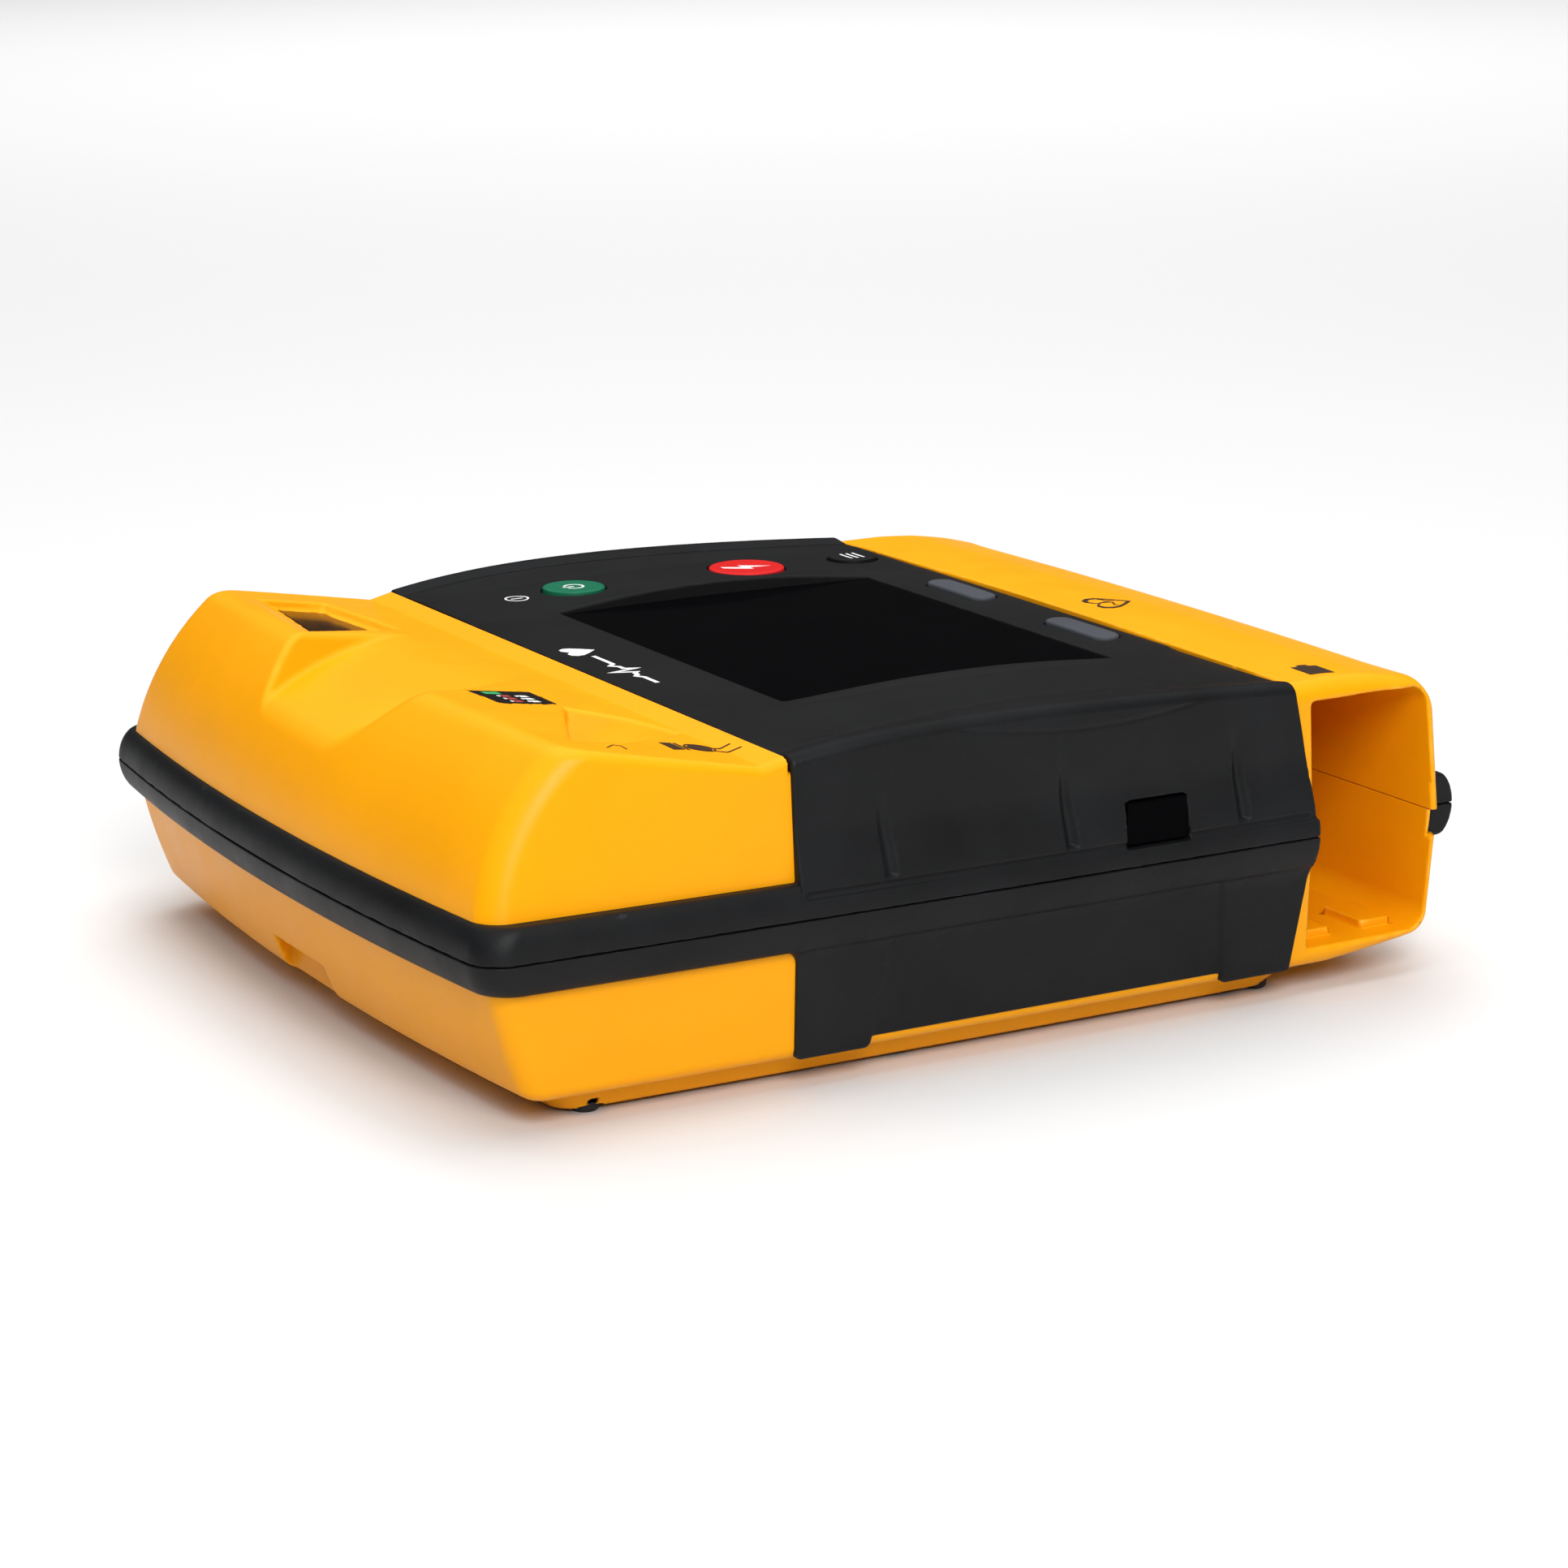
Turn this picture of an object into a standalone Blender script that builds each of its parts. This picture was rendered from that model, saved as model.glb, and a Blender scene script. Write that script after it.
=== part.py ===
"""Portable automated external defibrillator, lying on its back.

Frame: origin on the floor under the middle of the body, +X to the user's right,
+Y towards the top end of the device, +Z out of the screen.
All sizes below are millimetres; new_object() turns them into metres.
"""
import math

import bmesh
import bpy
from mathutils import Vector

MM = 0.001
GAP = 0.3                       # clearance between touching pieces

# ---------------------------------------------------------------- case outline
SEAM_Z = 41.5                   # parting plane of the two cases
HALF_WIDTH = 112.9              # at the seam and the widest station
FRONT_DRAFT = 0.015             # how the side walls lean in, per mm of height
REAR_DRAFT = 0.045
BOW_Y = -21.0                   # station where the long sides bulge most
SIDE_BOW = 0.00007              # how the long sides curve in at the seam, per mm
SIDE_BOW_GROWTH = 0.0000094     # how that curve grows towards the front face, per mm of height
TOP_BOW = 0.0005                # how the top end curves back, per mm
TOP_ARC_RADIUS = 60.0           # front half of the top end, seen from the side
TOP_ARC_Y = 75.6
TOP_ARC_Z = 38.0
BOTTOM_REACH = 132.4            # bottom end at the seam
REAR_TOP_REACH = 134.2          # top end at the seam, rear half
CORNER_TOP = 5.0                # plan corner radii
CORNER_BOTTOM = 7.0
WALL = 3.2

# ---------------------------------------------------------------- front face
PANEL_TOP_Y = 53.4              # black middle section, where the panel and grips lie
PANEL_BOTTOM_Y = -85.5
PANEL_FLOOR_Z = 74.6            # seat of the front panel in the case
PANEL_HALF_X = 103.0
FACE_Z = 78.0                   # yellow face at the panel's ends
RAIL_PEAK_Z = 82.2              # crest of the arched rails
RAIL_PEAK_Y = -7.0
VALLEY_Y = 59.8
VALLEY_Z = 76.5
HUMP_SLOPE = 0.190              # rise of the raised top section, per mm
HUMP_END_Y = 110.0
CROWN = 1.2                     # crown of the bottom section across the width

# ---------------------------------------------------------------- display
WINDOW_HALF_X = 60.0
WINDOW_Y = (-66.5, 26.5)
WINDOW_TOP_Z = 77.4
WINDOW_THICK = 2.0
WINDOW_BULGE = 2.5

# ---------------------------------------------------------------- buttons
BUTTON_X = 82.5
ON_OFF_Y = 11.5
ON_OFF_RADIUS = 8.75
SHOCK_Y = -41.5
SHOCK_RADIUS = 10.75
MENU_Y = -75.2
MENU_RADIUS = 7.0
SOFT_KEY_X = 29.3
SOFT_KEY_Y = -78.1
SOFT_KEY_LENGTH = 28.0
SOFT_KEY_WIDTH = 7.6
BUTTON_TRAVEL = 1.2
SOFT_KEY_TRAVEL = 0.8
BUTTON_PROUD = 1.0
FLANGE = 1.2                    # how far a button's retaining flange reaches out
FLANGE_TOP_Z = 74.3
FLANGE_THICK = 1.0
STEM_BOTTOM_Z = 71.8
BOARD_Z = (65.6, 67.2)          # key board
DOME_TOP_Z = STEM_BOTTOM_Z - BUTTON_TRAVEL - GAP

# ---------------------------------------------------------------- recesses of the top section
READINESS_X = (46.0, 93.0)
READINESS_Y = (77.5, 102.0)
READINESS_DEPTH = 1.7
READINESS_WINDOW_X = (54.0, 88.0)
READINESS_WINDOW_Y = (83.0, 96.0)
LABEL_X = (-46.0, -29.0)
LABEL_Y = (78.0, 96.0)
RECESS_RIM = ((-47.0, 78.0), (-92.0, 98.5), (-90.0, 84.0), (-84.0, 80.0), (-77.0, 67.0), (-72.0, 60.0),
              (-57.0, 65.0))    # electrode recess, at the surface
RECESS_FLOOR = ((-55.0, 82.4), (-88.0, 97.2), (-87.0, 85.0), (-79.0, 79.0), (-68.0, 73.5))
RECESS_FLOOR_Z = 66.5
SOCKET_X = (-80.0, -62.0)       # electrode socket, in the slanted wall of the recess
SOCKET_DEPTH = 9.0
SOCKET_Z = (67.0, 75.5)

# ---------------------------------------------------------------- infrared window in the left side
INFRARED_Y = (-52.5, -34.5)
INFRARED_Z = (45.8, 56.9)

# ---------------------------------------------------------------- battery bay
BAY_X = (-118.0, 99.0)
BAY_Y = (-128.6, -91.0)
BAY_Z = (11.8, 73.4)
BAY_WALL_Y = -87.8              # far side of the wall between bay and electronics
LATCH_HEIGHT = 2.4

# ---------------------------------------------------------------- bumper
BUMPER_PROUD = 4.1
BUMPER_END_PROUD = 6.0          # at both ends
BUMPER_TOP_Z = 49.5
BUMPER_BOTTOM_Z = 33.6
BUMPER_SPLIT = 0.5              # groove between the two bumper halves
GRIP_PROUD = 1.1

# ---------------------------------------------------------------- rear case
REAR_FACE_Z = 7.0
PLATEAU_Z = 1.2
PLATEAU_Y = (-89.5, 112.6)
PLATEAU_HALF_X = 102.5
PLATEAU_SLOPE = 3.8
FOOT_X = 98.0
FOOT_Y = (-84.0, 100.0)
FOOT_RADIUS = 3.6
FOOT_TOP_Z = 4.2
SCREW_PLACES = ((-84, 108), (84, 108), (-98, 20), (98, 20), (-98, -74), (98, -74))
SCREW_RADIUS = 1.6
SCREW_HEAD_RADIUS = 3.2
SCREW_SEAT_Z = 14.0

YELLOW = (0.93, 0.40, 0.012)
RUBBER = (0.016, 0.017, 0.019)


# ================================================================ scene helpers
def clear_scene():
    for item in list(bpy.data.objects):
        bpy.data.objects.remove(item, do_unlink=True)


def material(name, colour, roughness=0.5, metallic=0.0):
    mat = bpy.data.materials.new(name)
    mat.use_nodes = True
    shader = mat.node_tree.nodes["Principled BSDF"]
    shader.inputs["Base Color"].default_value = (*colour, 1.0)
    shader.inputs["Roughness"].default_value = roughness
    shader.inputs["Metallic"].default_value = metallic
    return mat


def new_object(name, bm, mat=None, origin=(0, 0, 0)):
    """Turn a bmesh in millimetres into an object in metres with its origin at a point."""
    bmesh.ops.translate(bm, verts=bm.verts, vec=-Vector(origin))
    bmesh.ops.scale(bm, verts=bm.verts, vec=(MM, MM, MM))
    bmesh.ops.recalc_face_normals(bm, faces=bm.faces)
    mesh = bpy.data.meshes.new(name)
    bm.to_mesh(mesh)
    bm.free()
    obj = bpy.data.objects.new(name, mesh)
    obj.location = Vector(origin) * MM
    bpy.context.collection.objects.link(obj)
    if mat:
        mesh.materials.append(mat)
    return obj


def boolean(target, tools, operation):
    """Apply one exact Boolean for each tool and remove the tool."""
    for tool in tools:
        modifier = target.modifiers.new("shape", "BOOLEAN")
        modifier.operation = operation
        modifier.solver = "EXACT"
        modifier.object = tool
        bpy.context.view_layer.update()
        graph = bpy.context.evaluated_depsgraph_get()
        result = bpy.data.meshes.new_from_object(target.evaluated_get(graph))
        target.modifiers.remove(modifier)
        old = target.data
        result.name = old.name
        target.data = result
        bpy.data.meshes.remove(old)
        bpy.data.objects.remove(tool, do_unlink=True)
    return target


def cut(target, *tools):
    return boolean(target, tools, "DIFFERENCE")


def join(target, *tools):
    return boolean(target, tools, "UNION")


def keep(target, *tools):
    return boolean(target, tools, "INTERSECT")


def tidy(obj):
    """Merge stray doubles and flatten the faces a Boolean splits."""
    bm = bmesh.new()
    bm.from_mesh(obj.data)
    bmesh.ops.remove_doubles(bm, verts=bm.verts, dist=0.000005)
    bmesh.ops.dissolve_degenerate(bm, edges=bm.edges, dist=0.000005)
    bmesh.ops.delete(bm, geom=[e for e in bm.edges if not e.link_faces], context="EDGES")
    bmesh.ops.delete(bm, geom=[v for v in bm.verts if not v.link_edges], context="VERTS")
    bm.to_mesh(obj.data)
    bm.free()
    return obj


def smooth(obj, angle=35.0):
    obj.data.shade_smooth()
    obj.data.set_sharp_from_angle(angle=math.radians(angle))
    return obj


# ================================================================ shape helpers
def box(low, high):
    bm = bmesh.new()
    bmesh.ops.create_cube(bm, size=1.0)
    low, high = Vector(low), Vector(high)
    bmesh.ops.scale(bm, verts=bm.verts, vec=high - low)
    bmesh.ops.translate(bm, verts=bm.verts, vec=(low + high) / 2)
    return bm


def hull(points):
    bm = bmesh.new()
    for point in points:
        bm.verts.new(point)
    bmesh.ops.convex_hull(bm, input=bm.verts)
    loose = [v for v in bm.verts if not v.link_faces]
    bmesh.ops.delete(bm, geom=loose, context="VERTS")
    return bm


def loft(rings):
    """Closed solid through rings with equal numbers of points."""
    bm = bmesh.new()
    rows = [[bm.verts.new(p) for p in ring] for ring in rings]
    count = len(rows[0])
    for low, high in zip(rows, rows[1:]):
        for i in range(count):
            j = (i + 1) % count
            bm.faces.new((low[i], low[j], high[j], high[i]))
    bm.faces.new(list(reversed(rows[0])))
    bm.faces.new(rows[-1])
    return bm


def prism(outline, z_low, z_high):
    return loft([[(x, y, z) for x, y in outline] for z in (z_low, z_high)])


def lathe(profile, centre, sides=32):
    """Turned solid about a vertical axis; profile is (radius, z) from bottom to top."""
    x0, y0 = centre
    turns = [2 * math.pi * i / sides for i in range(sides)]
    rings = [[(x0 + r * math.cos(a), y0 + r * math.sin(a), z) for a in turns] for r, z in profile]
    return loft(rings)


def rod(centre, axis, radius, low, high, sides=24):
    """Cylinder along X or Y; centre gives its two other coordinates."""
    turns = [2 * math.pi * i / sides for i in range(sides)]
    rings = []
    for along in (low, high):
        ring = []
        for a in turns:
            u, v = centre[0] + radius * math.cos(a), centre[1] + radius * math.sin(a)
            ring.append((along, u, v) if axis == "x" else (u, along, v))
        rings.append(ring)
    return loft(rings)


def arc(centre, radius, start, end, steps):
    angles = [math.radians(start + (end - start) * i / steps) for i in range(steps + 1)]
    return [(centre[0] + radius * math.cos(a), centre[1] + radius * math.sin(a)) for a in angles]


def pill(centre, length, width, steps=6):
    radius, reach = width / 2, (length - width) / 2
    right = arc((centre[0] + reach, centre[1]), radius, -90, 90, steps)
    left = arc((centre[0] - reach, centre[1]), radius, 90, 270, steps)
    return right + left


def rounded_rectangle(x, y, radius, steps=3):
    corners = ((x[1], y[0], -90), (x[1], y[1], 0), (x[0], y[1], 90), (x[0], y[0], 180))
    outline = []
    for cx, cy, start in corners:
        inner = (cx - math.copysign(radius, cx - sum(x) / 2), cy - math.copysign(radius, cy - sum(y) / 2))
        outline += arc(inner, radius, start, start + 90, steps)
    return outline


# ================================================================ case form
def side_x(y, z, out=0.0):
    """Half width of the body at y and z."""
    if z >= SEAM_Z:
        rise = z - SEAM_Z
        bow = SIDE_BOW + SIDE_BOW_GROWTH * rise
        return HALF_WIDTH + out - FRONT_DRAFT * rise - bow * (y - BOW_Y) ** 2
    return HALF_WIDTH + out - REAR_DRAFT * (SEAM_Z - z) - SIDE_BOW * (y - BOW_Y) ** 2


def plan_outline(z, out, top, bottom, r_top, r_bottom, steps=4):
    """Body outline seen from the front: bowed sides, bowed top end, straight bottom end."""
    corner_y = top - TOP_BOW * side_x(top - 6, z, out) ** 2
    corner_x = side_x(corner_y, z, out)
    foot_x = side_x(-bottom, z, out)
    low, high = -bottom + r_bottom, corner_y - r_top
    stations = [low + (high - low) * i / 7 for i in range(1, 7)]
    right = [(side_x(y, z, out), y) for y in stations]
    lower = arc((foot_x - r_bottom, -bottom + r_bottom), r_bottom, -90, 0, steps)
    upper = arc((corner_x - r_top, corner_y - r_top), r_top, 0, 90, steps)
    half = lower + right + upper
    middle = [(x, top - TOP_BOW * x * x) for x in (66, 33, 0, -33, -66)]
    mirrored = [(-x, y) for x, y in reversed(half)]
    return half + middle + mirrored


def top_reach(z):
    """Top end of the body at x = 0."""
    if z >= SEAM_Z:
        return TOP_ARC_Y + math.sqrt(TOP_ARC_RADIUS ** 2 - (z - TOP_ARC_Z) ** 2)
    drop = SEAM_Z - z
    return REAR_TOP_REACH - 0.12 * drop - 0.0045 * drop * drop


def bottom_reach(z):
    if z >= SEAM_Z:
        return BOTTOM_REACH
    return BOTTOM_REACH - 0.06 * (SEAM_Z - z)


def body_ring(z, out=0.0):
    outline = plan_outline(z, out, top_reach(z) + out, bottom_reach(z) + out,
                           CORNER_TOP + out, CORNER_BOTTOM + out)
    return [(x, y, z) for x, y in outline]


def body_solid(levels, out=0.0):
    return loft([body_ring(z, out) for z in levels])


FRONT_LEVELS = (SEAM_Z, 50.0, 58.0, 66.0, 73.0, 79.0, 84.0, 88.0)
REAR_LEVELS = (REAR_FACE_Z, 12.0, 22.0, 32.0, SEAM_Z)


def rail_z(y):
    """Crest height of the arched rails."""
    if y > RAIL_PEAK_Y:
        share = (y - RAIL_PEAK_Y) / (PANEL_TOP_Y - RAIL_PEAK_Y)
        return RAIL_PEAK_Z - 4.0 * abs(share) ** 2.6
    share = (RAIL_PEAK_Y - y) / (RAIL_PEAK_Y - PANEL_BOTTOM_Y)
    return RAIL_PEAK_Z - 3.3 * share ** 1.6


def panel_z(y):
    """Front panel beside the display window."""
    return 78.1 + 0.15 * (rail_z(y) - FACE_Z)


def hump_z(y):
    return VALLEY_Z + (y - VALLEY_Y) * HUMP_SLOPE


def face_profile(x):
    """Front face of the yellow case in the YZ plane, as the lower edge of a cutter."""
    crown = CROWN * (1 - (x / 112.0) ** 2)
    points = [(-150, 58), (-BOTTOM_REACH, 58), (-131.6, 65), (-130.0, 69 + crown / 2)]
    rounding = ((-127.2, 71.6), (-121, 74.2), (-111.5, 76.8), (-99, 78.2), (PANEL_BOTTOM_Y, 78.6))
    points += [(y, z + crown) for y, z in rounding]
    points += [(PANEL_BOTTOM_Y + 0.01, PANEL_FLOOR_Z), (PANEL_TOP_Y - 0.01, PANEL_FLOOR_Z)]
    points += [(PANEL_TOP_Y, FACE_Z), (VALLEY_Y, VALLEY_Z), (HUMP_END_Y, hump_z(HUMP_END_Y))]
    points += [(150, hump_z(HUMP_END_Y)), (150, 110), (-150, 110)]
    return points


def face_cutter():
    stations = (-130, -112, -84, -56, -28, 0, 28, 56, 84, 112, 130)
    return loft([[(x, y, z) for y, z in face_profile(min(112, max(-112, x)))] for x in stations])


# ================================================================ shared cutters
def cavity(name, z_low, z_high):
    """Electronics compartment inside both cases."""
    levels = [z_low + (z_high - z_low) * i / 3 for i in range(4)]
    rings = []
    for z in levels:
        outline = plan_outline(z, -WALL, top_reach(z) - WALL, -BAY_WALL_Y, 4.0, 3.0, 2)
        rings.append([(x, y, z) for x, y in outline])
    return new_object(name, loft(rings))


def bay_solid():
    low, high = BAY_Z
    near, far = BAY_Y[1], BAY_Y[0]
    profile = [(near, low + 2), (near, high - 2), (near - 2, high), (far + 12, high - 1.2),
               (far + 4.5, high - 3.6), (far + 0.6, high - 8), (far, SEAM_Z), (far + 0.6, low + 14),
               (far + 1.6, low + 5), (far + 4.5, low + 1.0), (far + 12, low), (near - 2, low)]
    rings = [[(x, y, z) for y, z in profile] for x in BAY_X]
    return new_object("bay", loft(rings))


def seal_ring(name, grow, z_low, z_high):
    top = REAR_TOP_REACH
    outer = plan_outline(SEAM_Z, grow - 1.1, top - 1.1 + grow, 89.9 + grow, 4.0 + grow, 3.0 + grow)
    inner = plan_outline(SEAM_Z, -2.1 - grow, top - 2.1 - grow, 88.9 - grow, 3.0 - grow, 2.0 - grow)
    ring = new_object(name, prism(outer, z_low, z_high))
    return cut(ring, new_object("bore", prism(inner, z_low - 1, z_high + 1)))


# ================================================================ cases
def screw_post(x, y, z_low, z_high, radius):
    return new_object("post", lathe([(radius, z_low), (radius, z_high)], (x, y), 16))


def make_front_case(mat):
    case = new_object("front_case", body_solid(FRONT_LEVELS), mat)
    cut(case, new_object("face", face_cutter()))
    cut(case, cavity("room", SEAM_Z - 1, 65.0))
    cut(case, new_object("panel_room", box((-104, BAY_WALL_Y, 50), (104, VALLEY_Y - 2, 71.6))))
    cut(case, new_object("hump_room", box((48, VALLEY_Y - 8, 60), (100, 108, 73.6))))
    for x, y in SCREW_PLACES:
        join(case, screw_post(x, y, SEAM_Z + 3.0, 74.4 if x > 0 or y < VALLEY_Y else 66.0, 4.2))
        cut(case, screw_post(x, y, SEAM_Z - 1, 61.0, SCREW_RADIUS + GAP))
    cut(case, bay_solid())
    cut(case, new_object("trim", box((-140, -150, SEAM_Z - 20), (140, 150, SEAM_Z + GAP / 2))))
    cut(case, seal_ring("groove", GAP, SEAM_Z - 3, SEAM_Z + 1.3))
    make_front_openings(case)
    make_top_recesses(case)
    return tidy(case)


def make_front_openings(case):
    """Holes in the panel's seat for the display and the buttons, and in the side for the infrared window."""
    cut(case, new_object("screen", box((-65, -69.2, 60), (65, 29.2, 80))))
    for y, radius in ((ON_OFF_Y, ON_OFF_RADIUS), (SHOCK_Y, SHOCK_RADIUS), (MENU_Y, MENU_RADIUS)):
        cut(case, screw_post(BUTTON_X, y, 68, 80, radius + FLANGE + 2 * GAP))
    for x in (-SOFT_KEY_X, SOFT_KEY_X):
        hole = pill((x, SOFT_KEY_Y), SOFT_KEY_LENGTH + 2 * FLANGE + 1.2, SOFT_KEY_WIDTH + 2 * FLANGE + 1.2)
        cut(case, new_object("key_hole", prism(hole, 68, 80)))
    y, z = INFRARED_Y, INFRARED_Z
    cut(case, new_object("infrared", box((-125, y[0] - 0.3, z[0] - 0.1), (-100, y[1] + 0.3, z[1] + 0.3))))


def tilted_box(x, y, depth_low, depth_high, shrink=0.0):
    """Block that follows the slope of the raised top section, given by its depth under it."""
    points = []
    for px in (x[0] + shrink, x[1] - shrink):
        for py in (y[0] + shrink, y[1] - shrink):
            points.append((px, py, hump_z(py) - depth_low))
    for px in x:
        for py in y:
            points.append((px, py, hump_z(py) - depth_high))
    return hull(points)


def make_top_recesses(case):
    """Readiness recess, scoop between the humps, label seat and electrode recess."""
    cut(case, new_object("readiness", tilted_box(READINESS_X, READINESS_Y, READINESS_DEPTH, -1.0, 4.0)))
    x, y = READINESS_WINDOW_X, READINESS_WINDOW_Y
    cut(case, new_object("glass_hole", box((x[0], y[0], 60), (x[1], y[1], 90))))
    scoop = [(44, 76, 80), (41, 112, 90), (20, 132, 70.3), (-23, 132, 69.6), (-28, 100, 86.5),
             (-16, 82, 80.2), (6, 64, 77.0), (32, 64, 77.0), (44, 76, 90), (-28, 112, 95), (44, 132, 95),
             (-28, 132, 95)]
    cut(case, new_object("scoop", hull(scoop)))
    cut(case, new_object("label_seat", tilted_box(LABEL_X, LABEL_Y, 0.7, -2.0)))
    rim = [(x, y, hump_z(max(y, VALLEY_Y))) for x, y in RECESS_RIM]
    mouth = [(x, y, 95.0) for x, y in RECESS_RIM]
    floor = [(x, y, RECESS_FLOOR_Z) for x, y in RECESS_FLOOR]
    cut(case, new_object("electrode_recess", hull(rim + mouth + floor)))
    cut(case, new_object("socket_hole", socket_block(-2.0, GAP)))


def socket_wall_y(x):
    """Foot of the recess's slanted wall at x."""
    (x0, y0), (x1, y1) = RECESS_FLOOR[:2]
    return y0 + (x - x0) * (y1 - y0) / (x1 - x0)


def socket_block(front, grow=0.0):
    """Block behind the slanted wall of the recess, starting a distance behind it."""
    points = []
    for x in (SOCKET_X[0] - grow, SOCKET_X[1] + grow):
        for y in (socket_wall_y(x) + front, socket_wall_y(x) + SOCKET_DEPTH + grow):
            for z in (SOCKET_Z[0] - grow, SOCKET_Z[1] + grow):
                points.append((x, y, z))
    return hull(points)


def make_rear_case(mat):
    case = new_object("rear_case", body_solid(REAR_LEVELS), mat)
    rings = []
    for z, grow in ((PLATEAU_Z, 0.0), (REAR_FACE_Z + 1.0, PLATEAU_SLOPE)):
        outline = plan_outline(SEAM_Z, PLATEAU_HALF_X - HALF_WIDTH + grow, PLATEAU_Y[1] + grow,
                               -PLATEAU_Y[0] + grow, 6.0, 9.0)
        rings.append([(x, y, z) for x, y in outline])
    join(case, new_object("plateau", loft(rings)))
    chamfer = [(-150, 26), (-131.4, 26), (-130.6, 18.4), (-128.6, 13.8), (-124.5, 10.6), (-118, 9.2),
               (-108, 8.0), (-98, REAR_FACE_Z - 0.1), (-98, -5), (-150, -5)]
    cut(case, new_object("under_edge", loft([[(x, y, z) for y, z in chamfer] for x in (-130, 130)])))
    cut(case, cavity("room", REAR_FACE_Z + 2.4, SEAM_Z + 1))
    for x, y in SCREW_PLACES:
        join(case, screw_post(x, y, REAR_FACE_Z + 1, SEAM_Z, 4.6))
        cut(case, screw_post(x, y, 0, SCREW_SEAT_Z, SCREW_HEAD_RADIUS + GAP))
        cut(case, screw_post(x, y, 0, SEAM_Z + 5, SCREW_RADIUS + GAP))
    cut(case, bay_solid())
    floor = BAY_Z[0]
    for y in (-117.0, -98.5):
        block = box((-104, y - 4.5, floor - 1.5), (-88, y + 4.5, floor + LATCH_HEIGHT))
        join(case, new_object("latch_block", block))
    rib = box((-52, BAY_Y[0] - 1, floor - 1), (-49.5, BAY_Y[1] + 1, floor + 1.6))
    join(case, new_object("bay_rib", rib))
    cut(case, new_object("trim", box((-140, -150, SEAM_Z - GAP / 2), (140, 150, SEAM_Z + 20))))
    cut(case, seal_ring("groove", GAP, SEAM_Z - 1.3, SEAM_Z + 3))
    pocket = [(x, y, z) for y, low, high in ((150, 6.0, 16.4), (122.6, 9.6, 15.4))
              for x, z in ((14.6, low), (-15.6, low), (14.6, high), (-15.6, high))]
    cut(case, new_object("pocket", hull(pocket)))
    for i in range(5):
        x = 38 + 6 * i
        cut(case, new_object("sound_slot", box((x, 62, -5), (x + 2, 84, 12))))
    for x in (-FOOT_X, FOOT_X):
        for y in FOOT_Y:
            cut(case, screw_post(x, y, PLATEAU_Z - 5, FOOT_TOP_Z + GAP, FOOT_RADIUS + GAP))
    return tidy(case)


# ================================================================ rubber parts
def bumper_blank(name, z_low, z_high, mat):
    """Slab that bulges towards the parting plane; the body is cut out of it to leave a band."""
    half_height = max(z_high - SEAM_Z, SEAM_Z - z_low)
    steps = 4
    rings = []
    for i in range(steps + 1):
        z = z_low + (z_high - z_low) * i / steps
        bulge = math.sqrt(1 - 0.8 * ((z - SEAM_Z) / half_height) ** 2)
        outline = plan_outline(SEAM_Z, BUMPER_PROUD * bulge, REAR_TOP_REACH - 1.8 + BUMPER_END_PROUD * bulge,
                               BOTTOM_REACH + BUMPER_END_PROUD * bulge, CORNER_TOP + 2.5, CORNER_BOTTOM + 3.5)
        rings.append([(x, y, z) for x, y in outline])
    return new_object(name, loft(rings), mat)


def grip_profile(y, side, deep):
    """Cross-section of a side grip at y: from the panel's edge, over the rail and down the side."""
    crest = rail_z(y)
    outer = side_x(y, crest, GRIP_PROUD)
    top = [(PANEL_HALF_X + GAP, crest - 0.8), (outer - 4.8, crest), (outer - 2.2, crest - 0.8),
           (outer - 0.5, crest - 3.2), (side_x(y, crest - 12, GRIP_PROUD), crest - 12),
           (side_x(y, 58, GRIP_PROUD), 58.0), (side_x(y, deep, GRIP_PROUD) + 0.2, deep)]
    bottom = [(outer - 8.0, deep), (PANEL_HALF_X + GAP, PANEL_FLOOR_Z - 4.0)]
    points = [(side * x, y, z) for x, z in top + bottom]
    return points if side > 0 else list(reversed(points))


def grip_solid(side):
    stations = [PANEL_BOTTOM_Y + GAP + (PANEL_TOP_Y - PANEL_BOTTOM_Y - 2 * GAP) * i / 8 for i in range(9)]
    rings = [grip_profile(y, side, BUMPER_TOP_Z - 3.0) for y in stations]
    return new_object("grip", loft(rings))


def make_front_bumper(mat):
    band = bumper_blank("front_bumper", SEAM_Z + BUMPER_SPLIT / 2, BUMPER_TOP_Z, mat)
    body = new_object("core", body_solid(FRONT_LEVELS, GAP))
    face = face_cutter()
    bmesh.ops.translate(face, verts=face.verts, vec=(0, 0, GAP))
    cut(body, new_object("face", face))
    for side in (-1, 1):
        join(band, grip_solid(side))
    cut(band, body)
    for y in (35, -14, -63.5):
        for side in (-1, 1):
            x = side * (side_x(y, 60, GRIP_PROUD) + 0.9)
            ends = ((y - 3, 50), (y + 3, 50), (y - 1.5, 68), (y + 1.5, 68))
            groove = [(x + reach, station, z) for reach in (-1.7, 1.7) for station, z in ends]
            cut(band, new_object("thumb_groove", hull(groove)))
    y, z = INFRARED_Y, INFRARED_Z
    cut(band, new_object("infrared", box((-125, y[0], z[0]), (-100, y[1], z[1]))))
    cut(band, new_object("mouth", box((-130, -142, 30), (-106.3, PANEL_BOTTOM_Y, 90))))
    return tidy(band)


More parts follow.
